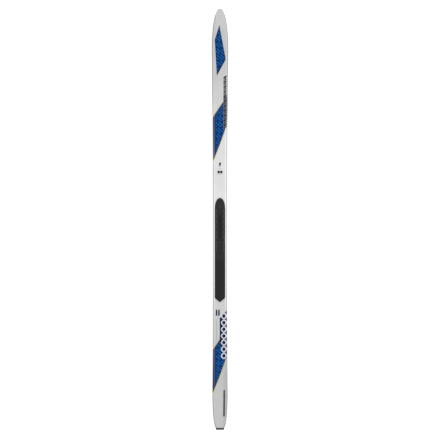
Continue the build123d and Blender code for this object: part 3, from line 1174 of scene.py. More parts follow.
@dataclass
class Topsheet:
    """Printed film over the cap, cut into its colours.

    Attributes:
        depth: Thickness of the film.
        trim: Height of the film's lower edge over the running surface.
        gaps: Stretches between mesh rows along the ski.
        panel_slope: Rise of a panel's front edge across the ski.
        upper_panel_y: Where the front panel's front edge crosses the middle line.
        lower_panel_y: Where the rear panel's front edge crosses the middle line.
        panel_pitch: Distance between the rear edges of the two panels.
        pinstripe: Width of the yellow lines.
        reach: Distance from the middle line that is past every edge of the ski.
        rim: Width of the grey bands of painted shade along the edges, where the sloped sides would fall into
            shade.
        regions: Outlines laid so far.
        inks: Ink of each outline.
    """

    depth: float = 0.5 * MM
    trim: float = 1.9 * MM
    gaps: int = 170
    panel_slope: float = 1.5
    upper_panel_y: float = 483 * MM
    lower_panel_y: float = -507 * MM
    panel_pitch: float = 986 * MM
    pinstripe: float = 2.8 * MM
    reach: float = 45 * MM
    rim: float = 3.2 * MM
    regions: list[list[Point]] = field(default_factory=list)
    inks: list[Ink] = field(default_factory=list)

    def lay(self, ink: Ink, outline: list[Point]) -> None:
        """Lays one printed outline over those before it."""
        self.regions.append(outline)
        self.inks.append(ink)

    def bar(self, ink: Ink, x: float, y: float, width: float, length: float, skew: float = 0.0) -> None:
        """Lays a bar.

        Args:
            ink: Its colour.
            x: Middle across the ski.
            y: Middle along the ski.
            width: Size across the ski.
            length: Size along the ski.
            skew: How far its right end lies ahead of its left end.
        """
        left, right = x - width / 2, x + width / 2
        back, ahead = y - length / 2, y + length / 2
        shift = skew / 2
        rear_side = [(left, back - shift), (right, back + shift)]
        self.lay(ink, rear_side + [(right, ahead + shift), (left, ahead - shift)])

    def rear_edge(self, x: float) -> float:
        """Rear edge of the front panel: a line that steepens to the right.

        Args:
            x: Place across the ski.

        Returns:
            Place along the ski.
        """
        from_left = x + 29 * MM
        return 252 * MM + 2.33 * from_left + 6.1 * from_left**2

    def band(self, ink: Ink, front: Rule, rear: Rule, left: float, right: float, shift: float) -> None:
        """Lays an area between two edge rules.

        Args:
            ink: Its colour.
            front: Front edge as a rule of x, with 0 for y.
            rear: Rear edge, likewise.
            left: Left limit.
            right: Right limit.
            shift: How far the area is moved towards the tail.
        """
        steps = 12
        places = [left + (right - left) * i / steps for i in range(steps + 1)]
        ahead = [(x, front(x, 0) - shift) for x in reversed(places)]
        behind = [(x, rear(x, 0) - shift) for x in places]
        self.lay(ink, behind + ahead)

    def lay_panel(self, crossing: float, shift: float, stripe_right: float) -> None:
        """Lays one twill panel with its outlines and pinstripes.

        Args:
            crossing: Where its front edge crosses the middle line, before the shift.
            shift: How far the panel lies behind the front one.
            stripe_right: Right end of its front pinstripe.
        """
        def front(offset: float) -> Rule:
            """Front edge, moved ahead by offset."""
            return lambda x, _: crossing + self.panel_slope * x + offset

        def rear(offset: float) -> Rule:
            """Rear edge, moved ahead by offset."""
            return lambda x, _: self.rear_edge(x) + offset

        line = self.pinstripe * 1.8
        reach = self.reach
        self.band(Ink.NAVY, front(0), rear(0), -reach, 25 * MM, shift)
        self.band(Ink.BLUE, front(-5 * MM), rear(3.5 * MM), -17.5 * MM, 22 * MM, shift)
        self.band(Ink.STEEL, front(-2 * MM), rear(2 * MM), -24.5 * MM, -21 * MM, shift)
        self.band(Ink.YELLOW, front(1.6 * MM + line), front(1.6 * MM), -reach, stripe_right, shift)
        self.band(Ink.YELLOW, rear(-1 * MM), rear(-1 * MM - 1.5 * line), -reach, 23 * MM, shift)

    def lay_prints(self) -> None:
        """Lays every printed shape, first to last."""
        # Grey bands of painted shade along both edges, where the sloped sides would fall into shade.
        for side in (-1, 1):
            rows = SHAPE.stations(SHAPE.tail_joint - 2 * MM, SHAPE.tip_joint + 2 * MM, self.gaps)
            outer = [(side * (SHAPE.half(y) + 4 * MM), y) for y in rows]
            inner = [(side * (SHAPE.half(y) - self.rim), y) for y in reversed(rows)]
            self.lay(Ink.RIM, outer + inner)
        kite_front, kite_back, kite_wide = 829 * MM, 616 * MM, 22.5 * MM
        kite = [
            (-2.5 * MM, kite_front),
            (-kite_wide, 768 * MM),
            (-13.5 * MM, kite_back),
            (kite_wide + 2 * MM, 686 * MM),
        ]
        self.lay(Ink.NAVY, kite)
        centre = (sum(x for x, _ in kite) / 4 - 0.8 * MM, sum(y for _, y in kite) / 4 + 4 * MM)
        inner = [
            (centre[0] + (x - centre[0]) * 0.86, centre[1] + (y - centre[1]) * 0.88) for x, y in kite
        ]
        self.lay(Ink.BLUE, inner)
        self.lay_panel(self.upper_panel_y, 0.0, 4 * MM)
        self.lay_panel(self.lower_panel_y + self.panel_pitch, self.panel_pitch, -4 * MM)
        self.lay(Ink.SLATE, in_mm((21, 405), (45, 470), (45, 545), (21, 514)))
        chain_ground = in_mm((-1.3, -418), (-1.3, -512), (2, -540), (23, -532), (23, -588))
        self.lay(Ink.NAVY, chain_ground + [(self.reach, -588 * MM), (self.reach, -366 * MM)])
        self.lay_front_marks()
        self.lay_rear_marks()

    def lay_front_marks(self) -> None:
        """Lays the slanted bars beside the front panel and the balance-point marks."""
        pitch, bars, first, skew = 20.4 * MM, 11, 605 * MM, 9 * MM
        middle = 21.4 * MM
        for number in range(bars):
            y = first - pitch * number
            if y < 530 * MM:
                self.bar(Ink.SILVER, middle, y, 14.5 * MM, pitch, skew)
        for number in range(bars):
            y = first - pitch * number
            self.bar(Ink.BLACK, middle, y + 4.2 * MM, 13 * MM, 9.4 * MM, skew)
            self.bar(Ink.BLACK, middle, y - 5.9 * MM, 13 * MM, 6.4 * MM, skew)
        drop = in_mm((-2.2, 226), (-0.4, 226), (4.6, 238), (2.6, 244), (-2.8, 244), (-4.4, 238))
        self.lay(Ink.BLACK, drop)
        self.bar(Ink.GREY, 0, 218.4 * MM, 14 * MM, 1.2 * MM)
        for side in (-1, 1):
            self.bar(Ink.BLACK, side * 5.6 * MM, 203.6 * MM, 9.4 * MM, 11 * MM)
        self.bar(Ink.GREY, 0, 193 * MM, 14 * MM, 1.2 * MM)

    def lay_rear_marks(self) -> None:
        """Lays the diamond chain, the paired bars and the rows of dashes behind the foot."""
        pitch, count, first, middle = 28.4 * MM, 7, -408 * MM, 16.6 * MM
        for number in range(count):
            y = first - pitch * number
            self.diamond(Ink.WHITE, middle, y, 13.0 * MM, 14.2 * MM)
            self.diamond(Ink.NAVY, middle, y, 7.8 * MM, 8.6 * MM)
        self.bar(Ink.WHITE, -3.4 * MM, -457 * MM, 2.2 * MM, 86 * MM)
        for shift in (-5, 5):
            self.bar(Ink.NAVY, -9.5 * MM + shift * MM, -394 * MM, 6.6 * MM, 25 * MM, 4 * MM)
        for number in range(20):
            self.bar(Ink.GREY, -15.3 * MM, (-430 - 4.1 * number) * MM, 3.4 * MM, 2.2 * MM)
        for number in range(22):
            x, y = (18.3 - 0.06 * number) * MM, (-729 - 5.1 * number) * MM
            self.bar(Ink.BLACK, x, y, 7.4 * MM, 4.5 * MM)

    def diamond(self, ink: Ink, x: float, y: float, across: float, along: float) -> None:
        """Lays a diamond with rounded corners.

        Args:
            ink: Its colour.
            x: Middle across the ski.
            y: Middle along the ski.
            across: Half its size across the ski.
            along: Half its size along the ski.
        """
        turns, power = 24, 1.35
        outline = []
        for step in range(turns):
            angle = 2 * math.pi * step / turns
            cosine, sine = math.cos(angle), math.sin(angle)
            outline.append(
                (
                    x + across * math.copysign(abs(cosine) ** power, cosine),
                    y + along * math.copysign(abs(sine) ** power, sine),
                )
            )
        self.lay(ink, outline)

    def patch(self) -> Patch:
        """Prepares the film for cutting.

        Returns:
            The patch with its outline, guides and prints.
        """
        rows = SHAPE.stations(SHAPE.tail_joint, SHAPE.tip_joint, self.gaps)
        guides = []
        fill = []
        for from_edge in (5.2, 6.5, 7.1, 7.3, 7.5, 7.7, 7.9, 8.6):
            for side in (-1, 1):
                guides.append([(side * (SHAPE.half(y) - from_edge * MM), y) for y in rows])
        for y in rows[1:-1]:
            flat = SHAPE.half(y) - 9.5 * MM
            fill.extend((flat * share, y) for share in (-0.66, -0.33, 0, 0.33, 0.66))
        return Patch(
            outline=SHAPE.outline(rows),
            upper=SHAPE.cap,
            depth=self.depth,
            regions=self.regions,
            labels=[ink.name for ink in self.inks],
            guides=guides,
            fill=fill,
            skirt=lambda x, y: SHAPE.base(y) + self.trim,
        )

    def build(self) -> None:
        """Cuts the film and makes its pieces."""
        self.lay_prints()
        solids = self.patch().solids()
        materials = {ink.name: ink.value.build() for ink in Ink}
        ground = mesh_of("topsheet_film", [(solids["ground"], materials["GROUND"])])
        add_piece(ground, "topsheet_film", ("topsheet",))
        groups = {
            "print_twill_panels": ("BLUE",),
            "print_dark_marks": ("NAVY", "STEEL", "SLATE", "BLACK"),
            "print_pale_marks": ("YELLOW", "SILVER", "WHITE", "GREY"),
            "print_edge_bands": ("RIM",),
        }
        for name, labels in groups.items():
            parts = [(solids[label], materials[label]) for label in labels if label in solids]
            add_piece(mesh_of(name, parts), name)


# ---------------------------------------------------------------- repeated shapes


class PatternNodes:
    """Geometry Nodes tree that sets a tile on a staggered grid and lifts it to the camber."""

    NUMBERS = {
        "Across": ("NodeSocketFloat", 0.0),
        "Along": ("NodeSocketFloat", 0.1),
        "Columns": ("NodeSocketInt", 1),
        "Rows": ("NodeSocketInt", 2),
        "Stagger": ("NodeSocketFloat", 0.0),
        "Camber": ("NodeSocketFloat", 0.0),
        "Wobble": ("NodeSocketFloat", 0.0),
        "Seed": ("NodeSocketInt", 7),
    }

    def __init__(self) -> None:
        """Builds the tree."""
        self.tree = bpy.data.node_groups.new("pattern", "GeometryNodeTree")
        face = self.tree.interface
        face.new_socket("Geometry", in_out="INPUT", socket_type="NodeSocketGeometry")
        self.keys = {}
        for label, (kind, value) in self.NUMBERS.items():
            socket = face.new_socket(label, in_out="INPUT", socket_type=kind)
            socket.default_value = value
            self.keys[label] = socket.identifier
        for label, kind in (("Middle", "NodeSocketVector"), ("Material", "NodeSocketMaterial")):
            socket = face.new_socket(label, in_out="INPUT", socket_type=kind)
            self.keys[label] = socket.identifier
        face.new_socket("Geometry", in_out="OUTPUT", socket_type="NodeSocketGeometry")
        self.rig = NodeRig(self.tree)
        self.wire_tree()

    def wire_tree(self) -> None:
        """Wires grid, stagger, instances, lift and material."""
        rig = self.rig
        source = rig.add("NodeGroupInput")
        target = rig.add("NodeGroupOutput")
        grid = rig.add("GeometryNodeMeshGrid")
        for label, slot in zip(("Across", "Along", "Columns", "Rows"), grid.inputs):
            rig.wire(source.outputs[label], slot)
        place = rig.add("GeometryNodeInputPosition")
        gaps = rig.math("SUBTRACT", source.outputs["Rows"], 1.0)
        pitch = rig.math("DIVIDE", source.outputs["Along"], gaps)
        half_run = rig.math("MULTIPLY", source.outputs["Along"], 0.5)
        from_rear = rig.math("ADD", rig.split(place.outputs[0])[1], half_run)
        number = rig.math("ROUND", rig.math("DIVIDE", from_rear, pitch))
        row = rig.math("FLOORED_MODULO", number, 2.0)
        side = rig.math("MULTIPLY", rig.math("SUBTRACT", row, 0.5), source.outputs["Stagger"])
        shift = rig.add("ShaderNodeCombineXYZ")
        rig.wire(side, shift.inputs[0])
        whole = rig.add("ShaderNodeVectorMath", operation="ADD")
        rig.wire(shift.outputs[0], whole.inputs[0])
        rig.wire(source.outputs["Middle"], whole.inputs[1])
        moved = rig.add("GeometryNodeSetPosition")
        rig.wire(grid.outputs[0], moved.inputs["Geometry"])
        rig.wire(whole.outputs[0], moved.inputs["Offset"])
        scatter = rig.add("GeometryNodeInstanceOnPoints")
        rig.wire(moved.outputs[0], scatter.inputs["Points"])
        rig.wire(source.outputs["Geometry"], scatter.inputs["Instance"])
        chance = rig.add("FunctionNodeRandomValue", data_type="FLOAT")
        rig.wire(source.outputs["Seed"], next(s for s in chance.inputs if s.name == "Seed"))
        numbers = [s for s in chance.inputs if s.type == "VALUE"]
        rig.wire(rig.math("SUBTRACT", 1.0, source.outputs["Wobble"]), numbers[0])
        rig.wire(rig.math("ADD", 1.0, source.outputs["Wobble"]), numbers[1])
        size = rig.add("ShaderNodeCombineXYZ")
        size.inputs[0].default_value = 1.0
        rig.wire(next(s for s in chance.outputs if s.type == "VALUE"), size.inputs[1])
        size.inputs[2].default_value = 1.0
        rig.wire(size.outputs[0], scatter.inputs["Scale"])
        real = rig.add("GeometryNodeRealizeInstances")
        rig.wire(scatter.outputs[0], real.inputs[0])
        lifted = rig.add("GeometryNodeSetPosition")
        rig.wire(real.outputs[0], lifted.inputs["Geometry"])
        rig.wire(self.camber_lift(source), lifted.inputs["Offset"])
        coloured = rig.add("GeometryNodeSetMaterial")
        rig.wire(lifted.outputs[0], coloured.inputs["Geometry"])
        rig.wire(source.outputs["Material"], coloured.inputs["Material"])
        rig.wire(coloured.outputs[0], target.inputs[0])

    def camber_lift(self, source: bpy.types.Node) -> bpy.types.NodeSocket:
        """Height of the camber arch at each point, as an offset.

        Args:
            source: Group input node.

        Returns:
            Vector socket.
        """
        rig = self.rig
        along = rig.split(rig.add("GeometryNodeInputPosition").outputs[0])[1]
        ahead = rig.math("SUBTRACT", along, SHAPE.flat_front)
        behind = rig.math("SUBTRACT", SHAPE.flat_rear, along)
        front = rig.math("DIVIDE", ahead, SHAPE.contact_front - SHAPE.flat_front)
        rear = rig.math("DIVIDE", behind, SHAPE.flat_rear - SHAPE.contact_rear)
        share = rig.math("MAXIMUM", rig.math("MAXIMUM", front, rear), 0.0)
        rest = rig.math("SUBTRACT", 1.0, rig.math("MULTIPLY", share, share))
        lift = rig.math("MULTIPLY", rig.math("POWER", rest, 1.5), source.outputs["Camber"])
        offset = rig.add("ShaderNodeCombineXYZ")
        rig.wire(lift, offset.inputs[2])
        return offset.outputs[0]

    def run(self, tile: bpy.types.Mesh, name: str, **values: object) -> bpy.types.Mesh:
        """Runs the tree on a tile.

        Args:
            tile: Mesh of one repeat, near the origin.
            name: Name of the result.
            values: Values of the tree's named inputs.

        Returns:
            A plain mesh with every repeat.
        """

        def add(holder: bpy.types.Object) -> None:
            """Adds the tree with its inputs."""
            nodes = holder.modifiers.new("pattern", "NODES")
            nodes.node_group = self.tree
            for label, value in values.items():
                nodes[self.keys[label]] = value

        return smooth_mesh(with_modifiers(tile, add, name), 30.0)


def solid_mesh(name: str, points: list[Vector], faces: Faces) -> bpy.types.Mesh:
    """Makes a closed mesh whose normals face outwards.

    Args:
        name: Name of the mesh.
        points: Its points.
        faces: Its faces, in any turning direction.

    Returns:
        The mesh.
    """
    mesh = bpy.data.meshes.new(name)
    mesh.from_pydata(points, [], faces)
    shell = bmesh.new()
    shell.from_mesh(mesh)
    bmesh.ops.recalc_face_normals(shell, faces=shell.faces)
    shell.to_mesh(mesh)
    shell.free()
    return mesh


def ribbon(name: str, profile: list[Point], stations: list[Vector]) -> bpy.types.Mesh:
    """Draws a closed profile of y and z along stations of x.

    Args:
        name: Name of the mesh.
        profile: Corners of the profile, as y and z.
        stations: For each section its x, and how far it is moved in y and z.

    Returns:
        A closed mesh.
    """
    count = len(profile)
    points = [Vector((s.x, y + s.y, z + s.z)) for s in stations for y, z in profile]
    faces: Faces = [tuple(range(count))]
    faces.append(tuple(range(len(points) - count, len(points))))
    for section in range(len(stations) - 1):
        start = section * count
        for i in range(count):
            j = (i + 1) % count
            faces.append((start + i, start + j, start + count + j, start + count + i))
    return solid_mesh(name, points, faces)


# ---------------------------------------------------------------- sole


@dataclass
class Sole:
    """Running base with its centre groove, and the waxless grip scales under the foot."""

    depth: float = 1.6 * MM
    groove_half: float = 3.0 * MM
    groove_depth: float = 1.0 * MM
    groove_rear: float = -700 * MM
    groove_front: float = 560 * MM
    groove_run: float = 14 * MM
    groove_wall: float = 0.7 * MM
    gaps: int = 200
    scale_rear: float = -400 * MM
    scale_front: float = 170 * MM
    scale_rows: int = 77
    scale_columns: int = 4
    scale_pitch: float = 5.4 * MM
    scale_middle: float = 15.6 * MM
    scale_half: float = 2.6 * MM
    scale_step: float = 0.4 * MM

    def underside(self, x: float, y: float) -> float:
        """Height of the sole's lower face.

        Args:
            x: Place across the ski.
            y: Place along the ski.

        Returns:
            Height, with the groove let in.
        """
        from_end = min(y - self.groove_rear, self.groove_front - y)
        along = clamp(from_end / self.groove_run)
        across = clamp((self.groove_half - abs(x)) / self.groove_wall)
        smooth = across * across * (3 - 2 * across)
        return SHAPE.base(y) + self.groove_depth * smooth * along

    def build(self, nodes: PatternNodes) -> None:
        """Builds the sole and its scales.

        Args:
            nodes: Tree that repeats the scales.
        """
        finish = SoleFinish("sole_sintered", (0.022, 0.022, 0.026), wear_colour=(0.09, 0.09, 0.1)).build()
        rows = SHAPE.stations(SHAPE.tail_joint, SHAPE.tip_joint, self.gaps)
        guides = []
        for x in (-3.0, -2.75, -2.5, -2.25, 0.0, 2.25, 2.5, 2.75, 3.0):
            guides.append([(x * MM, y) for y in rows[3:-3]])
        for inside in (0.5 * MM, 12 * MM):
            for side in (-1, 1):
                guides.append([(side * (SHAPE.half(y) - inside), y) for y in rows[3:-3]])
        sheet = Patch(
            outline=SHAPE.outline(rows),
            upper=lambda x, y: SHAPE.base(y) + self.depth,
            lower=self.underside,
            guides=guides,
        )
        mesh = mesh_of("sole_sheet", [(sheet.solids()["ground"], finish)])
        add_piece(mesh, "sole_sheet", ("running_base",))
        along = self.scale_front - self.scale_rear
        for side, name in ((-1, "grip_scales_left"), (1, "grip_scales_right")):
            scales = nodes.run(
                self.scale_tile(),
                name,
                Across=self.scale_pitch * (self.scale_columns - 1),
                Along=along,
                Columns=self.scale_columns,
                Rows=self.scale_rows,
                Stagger=self.scale_pitch / 2,
                Camber=SHAPE.camber,
                Wobble=0.03,
                Middle=(side * self.scale_middle, self.scale_rear + along / 2, 0.0),
                Material=finish,
            )
            add_piece(scales, name)

    def scale_tile(self) -> bpy.types.Mesh:
        """Makes one grip scale: a ramp that ends in a curved step facing the tail.

        Returns:
            A closed mesh of a few faces.
        """
        steps = 6
        front, back, bow = 3.3 * MM, -3.5 * MM, 1.5 * MM
        root = 0.5 * MM
        points = []
        faces: Faces = []
        for i in range(steps + 1):
            share = 2 * i / steps - 1
            x = share * self.scale_half
            rear = back + bow * share * share
            points += [
                Vector((x, front, 0.05 * MM)),
                Vector((x, rear + 0.3 * MM, -self.scale_step)),
                Vector((x, rear, -self.scale_step + 0.12 * MM)),
                Vector((x, rear, root)),
                Vector((x, front, root)),
            ]
        for i in range(steps):
            for k in range(5):
                a, b = i * 5 + k, i * 5 + (k + 1) % 5
                faces.append((a, b, b + 5, a + 5))
        faces.append((0, 1, 2, 3, 4))
        faces.append(tuple(steps * 5 + k for k in range(5)))
        return solid_mesh("grip_scale", points, faces)


# ---------------------------------------------------------------- guards


@dataclass
class Guards:
    """Moulded end pieces: the rounded tip guard and the square tail guard."""

    lip: float = 0.5 * MM
    tip_radius: float = 2.2 * MM
    tail_radius: float = 0.8 * MM
    tail_half: float = 17.6 * MM
    tail_corner: float = 3.0 * MM
    tongue: float = 18 * MM
    foot_radius: float = 0.7 * MM
    turns: int = 40

    def tip_curve(self) -> list[Point]:
        """Plan of the tip guard from its right corner round to its left corner.

        Returns:
            Plan points.
        """
        reach = SHAPE.end - SHAPE.shovel_y
        first = math.asin((SHAPE.tip_joint - SHAPE.shovel_y) / reach)
        right = []
        for step in range(self.turns + 1):
            turn = first + (math.pi / 2 - first) * step / self.turns
            cosine = max(0.0, math.cos(turn))
            x = self.lip * cosine + SHAPE.shovel_half * cosine ** (2 * SHAPE.tip_power)
            right.append((x, SHAPE.shovel_y + reach * math.sin(turn)))
        return right + [(-x, y) for x, y in right[-2::-1]]

    def tail_curve(self) -> list[Point]:
        """Plan of the tail guard from its left front corner round to its right front corner.

        Returns:
            Plan points.
        """
        centre_x = self.tail_half - self.tail_corner
        centre_y = -SHAPE.end + self.tail_corner
        right = []
        for step in range(9):
            turn = math.pi / 2 * step / 8
            right.append(
                (centre_x + self.tail_corner * math.sin(turn), centre_y - self.tail_corner * math.cos(turn))
            )
        right.append((self.tail_half, SHAPE.tail_joint))
        return [(-x, y) for x, y in reversed(right)] + right

    def moulding(self, curve: list[Point], radius: float) -> Patch:
        """Prepares one guard: flush below, its rim rounded above.

        Args:
            curve: Plan of its outer side; the joint closes it.
            radius: Radius of the rim.

        Returns:
            The patch.
        """
        rim = Rim(curve, radius)
        foot = Rim(curve, self.foot_radius)
        rings = rim.rings(curve) + foot.rings(curve)
        low = min(y for _, y in curve)
        high = max(y for _, y in curve)
        kept = [p for ring in rings for p in ring if low + 0.05 * MM < p[1] < high - 0.02 * MM]
        return Patch(
            outline=curve,
            upper=lambda x, y: SHAPE.top(y) + self.lip - min(rim.drop(x, y), 0.85 * radius),
            lower=lambda x, y: SHAPE.base(y) + foot.drop(x, y) * 0.8,
            fill=kept,
            step=1.2 * MM,
        )

    def tongue_patch(self, joint: float, inner: float, half: float) -> Patch:
        """Prepares the tongue that keys a guard into the laminate.

        Args:
            joint: Where the guard meets the body.
            inner: Where the tongue ends.
            half: Half its width.

        Returns:
            The patch.
        """
        return Patch(
            outline=[(-half, joint), (half, joint), (half * 0.9, inner), (-half * 0.9, inner)],
            upper=lambda x, y: SHAPE.top(y) - 1.8 * MM,
            lower=lambda x, y: SHAPE.base(y) + 2.7 * MM,
        )

    def build(self) -> None:
        """Builds both guards."""
        grey = MouldFinish(
            "guard_pearl_grey", (0.5, 0.5, 0.5), rough=0.4, wear_colour=(0.68, 0.68, 0.68)
        ).build()
        dark = MouldFinish(
            "guard_dark_brown", (0.035, 0.027, 0.024), rough=0.5, wear_colour=(0.12, 0.11, 0.1)
        ).build()
        tip = self.moulding(self.tip_curve(), self.tip_radius).solids()["ground"]
        tip_key = self.tongue_patch(
            SHAPE.tip_joint + 0.4 * MM, SHAPE.tip_joint - self.tongue, 13 * MM
        ).solids()["ground"]
        mesh = mesh_of("tip_guard_shell", [(tip, grey), (tip_key, grey)])
        add_piece(mesh, "tip_guard_shell", ("tip_guard",))
        tail = self.moulding(self.tail_curve(), self.tail_radius).solids()["ground"]
        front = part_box("tail_guard")[1].y
        parts = [(tail, dark)]
        if front > SHAPE.tail_joint + 1 * MM:
            key = self.tongue_patch(SHAPE.tail_joint - 0.4 * MM, front, 10 * MM)
            parts.append((key.solids()["ground"], dark))
        add_piece(mesh_of("tail_guard_shell", parts), "tail_guard_shell", ("tail_guard",))


# ---------------------------------------------------------------- binding plate


@dataclass
class BindingPlate:
    """Bonded plate in two halves, with its rack."""

    rim: float = 0.7 * MM
    pad: float = 0.5 * MM
    heel_depth: float = 2.6 * MM
    heel_front: float = -170.5 * MM
    heel_half: float = 22.3 * MM
    shoulder_y: float = -330.5 * MM
    shoulder_round: float = 12 * MM
    point_y: float = -349.3 * MM
    point_round: float = 4 * MM
    ring_y: float = -337 * MM
    ring_inner: float = 4.0 * MM
    ring_outer: float = 5.6 * MM
    ring_depth: float = 0.6 * MM
    ring_wall: float = 0.35 * MM
    band_depth: float = 0.16 * MM
    band_reach: float = 19 * MM
    band_run: float = 1.5 * MM
    tooth_pitch: float = 5.7 * MM
    teeth: int = 17

    def build(self, nodes: PatternNodes) -> None:
        """Builds both halves and the rack.

        Args:
            nodes: Tree that repeats the teeth.
        """
        # The lighter wear colour also paints a highlight on the rail tops above the proud height.
        black = MouldFinish(
            "plate_moulding", (0.024, 0.024, 0.026), rough=0.42, bump=0.25, wear_colour=(0.1, 0.1, 0.105)
        ).build()
        front = bevelled(merged_copy("binding_plate_front"), 0.3 * MM, "rail_plate")
        front.materials.clear()
        front.materials.append(black)
        add_piece(front, "rail_plate", ("binding_plate_front",))
        heel = MouldFinish(
            "heel_moulding",
            (0.0165, 0.0165, 0.018),
            rough=0.45,
            proud=60 * MM,
            wear_colour=(0.06, 0.06, 0.063),
        ).build()
        self.build_heel(heel)
        self.build_rack(nodes)

    def heel_outline(self) -> list[Point]:
        """Plan of the heel half: parallel sides that draw in to a blunt point.

        Returns:
            Plan points, anticlockwise.
        """
        half = self.heel_half
        slope = math.atan2(self.shoulder_y - self.point_y, half)
        turn = math.pi / 2 - slope
        run = self.shoulder_round * math.tan(turn / 2)
        right = [(half, self.heel_front)]
        for step in range(13):
            angle = turn * step / 12
            right.append(
                (
                    half - self.shoulder_round * (1 - math.cos(angle)),
                    self.shoulder_y + run - self.shoulder_round * math.sin(angle),
                )
            )
        centre = self.point_y + self.point_round / math.cos(slope)
        for step in range(9):
            angle = slope * (1 - step / 8)
            right.append((self.point_round * math.sin(angle), centre - self.point_round * math.cos(angle)))
        return turned_left(right + [(-x, y) for x, y in right[-2::-1]])

    def build_heel(self, finish: bpy.types.Material) -> None:
        """Builds the heel half with its moulded ring and low cross bands.

        Args:
            finish: Finish of the moulding.
        """
        outline = self.heel_outline()
        rim = Rim(outline + outline[:1], self.rim)
        turns = 36
        angles = [2 * math.pi * i / turns for i in range(turns)]

        def height(x: float, y: float) -> float:
            """Top face with its rim, ring groove and bands."""
            away = math.hypot(x, y - self.ring_y)
            wall = min(away - self.ring_inner, self.ring_outer - away) / self.ring_wall
            groove = self.ring_depth * clamp(wall)
            inside = clamp((self.band_reach - abs(x)) / self.band_run)
            band = self.band_depth * inside * self.band_share(y)
            return SHAPE.top(y) + self.pad + self.heel_depth - rim.drop(x, y) - groove - band

        guides = rim.rings(outline)
        for radius in (4.0, 4.2, 4.35, 5.25, 5.4, 5.6):
            circle = [
                (radius * MM * math.cos(a), self.ring_y + radius * MM * math.sin(a)) for a in angles
            ]
            guides.append(circle + circle[:1])
        columns = (-20.5, -19.3, -19, -17.5, -17.2, -6, 6, 17.2, 17.5, 19, 19.3, 20.5)
        for y in self.band_lines():
            guides.append([(x * MM, y) for x in columns])
        patch = Patch(
            outline=outline,
            upper=height,
            lower=lambda x, y: SHAPE.top(y) + self.pad,
            guides=guides,
            fill=[(x * MM, y * MM) for x in (-12, 0, 12) for y in range(-320, -176, 8)],
            step=1.2 * MM,
        )
        mesh = mesh_of("heel_plate", [(patch.solids()["ground"], finish)])
        add_piece(mesh, "heel_plate", ("binding_plate_rear",))

    def band_share(self, y: float) -> float:
        """Depth share of the low cross bands.

        Args:
            y: Place along the ski.

        Returns:
            1 inside a band, 0 between bands.
        """
        for middle, half in self.bands():
            away = abs(y - middle)
            if away < half:
                return min(1.0, (half - away) / (0.6 * MM))
        return 0.0

    @staticmethod
    def bands() -> list[Point]:
        """Middle and half length of each low cross band."""
        return [(-200 * MM, 9 * MM), (-232 * MM, 9 * MM), (-264 * MM, 9 * MM), (-296 * MM, 9 * MM)]

    def band_lines(self) -> list[float]:
        """Places where a band's slopes start and end, with a narrow margin on both sides."""
        insets = (-0.3 * MM, 0.0, 0.6 * MM, 0.9 * MM)
        return [m + side * (h - i) for m, h in self.bands() for side in (-1, 1) for i in insets]

    def build_rack(self, nodes: PatternNodes) -> None:
        """Builds the toothed strip between the rails.

        Args:
            nodes: Tree that repeats the teeth.
        """
        low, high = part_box("adjustment_rack")
        finish = MouldFinish(
            "rack_moulding", (0.017, 0.017, 0.019), rough=0.35, wear_colour=(0.08, 0.08, 0.085)
        ).build()
        half = high.x
        floor = low.z + 0.8 * MM
        edge = 0.25 * MM
        profile = [
            (low.y, low.z), (high.y, low.z), (high.y, floor - edge), (high.y - edge, floor),
            (low.y + edge, floor), (low.y, floor - edge),
        ]
        stations = [Vector((x, 0, 0)) for x in (-half, -half / 3, half / 3, half)]
        strip = smooth_mesh(ribbon("rack_strip", profile, stations))
        strip.materials.append(finish)
        add_piece(strip, "rack_strip", ("adjustment_rack",))
        foot, crest = 1.7 * MM, 0.7 * MM
        tooth = [
            (-foot, floor - 0.3 * MM), (foot, floor - 0.3 * MM), (foot, floor),
            (crest, high.z - 0.15 * MM), (crest - 0.2 * MM, high.z), (-crest, high.z),
            (-crest - 0.2 * MM, high.z - 0.15 * MM), (-foot, floor),
        ]
        inner = half - 0.35 * MM
        tile = ribbon("rack_tooth", tooth, [Vector((x, 0, 0)) for x in (-inner, 0, inner)])
        middle = (low.y + high.y) / 2
        teeth = nodes.run(
            tile, "rack_teeth", Across=0.0, Along=self.tooth_pitch * (self.teeth - 1), Columns=1,
            Rows=self.teeth, Stagger=0.0, Camber=0.0, Wobble=0.0, Middle=(0.0, middle, 0.0), Material=finish,
        )
        add_piece(teeth, "rack_teeth")


# ---------------------------------------------------------------- inner pieces


class InnerPieces:
    """Gives the frame's unchanged nodes their finishes."""

    def __init__(self) -> None:
        """Makes one finish for each kind of stuff."""
        self.finishes = {
            "glass_laminate": WeaveFinish(
                "glass_cloth", (0.2, 0.2, 0.15), second=(0.34, 0.34, 0.27), pitch=3 * MM, rough=0.35
            ),
            "core_wood": WoodFinish("core_wood_grain", (0.62, 0.43, 0.24)),
            "dense_sheet": WeaveFinish(
                "dense_fibre_sheet", (0.09, 0.04, 0.02), second=(0.14, 0.07, 0.035), pitch=1.6 * MM, rough=0.5
            ),
            "filler_foam": FoamFinish("filler_foam_cells", (0.55, 0.52, 0.4)),
            "bond_pad": FoamFinish("pad_rubber", (0.03, 0.03, 0.032), rough=0.8),
        }

    def build(self) -> None:
        """Puts the finishes in the objects' material slots."""
        made = {name: finish.build() for name, finish in self.finishes.items()}
        for node, holder in sorted(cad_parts.items()):
            for slot in holder.material_slots:
                stuff = made.get(slot.material.name) if slot.material else None
                if stuff is not None:
                    slot.link = "OBJECT"
                    slot.material = stuff
                    log.info("%s: %s", node, stuff.name)


# ---------------------------------------------------------------- studio


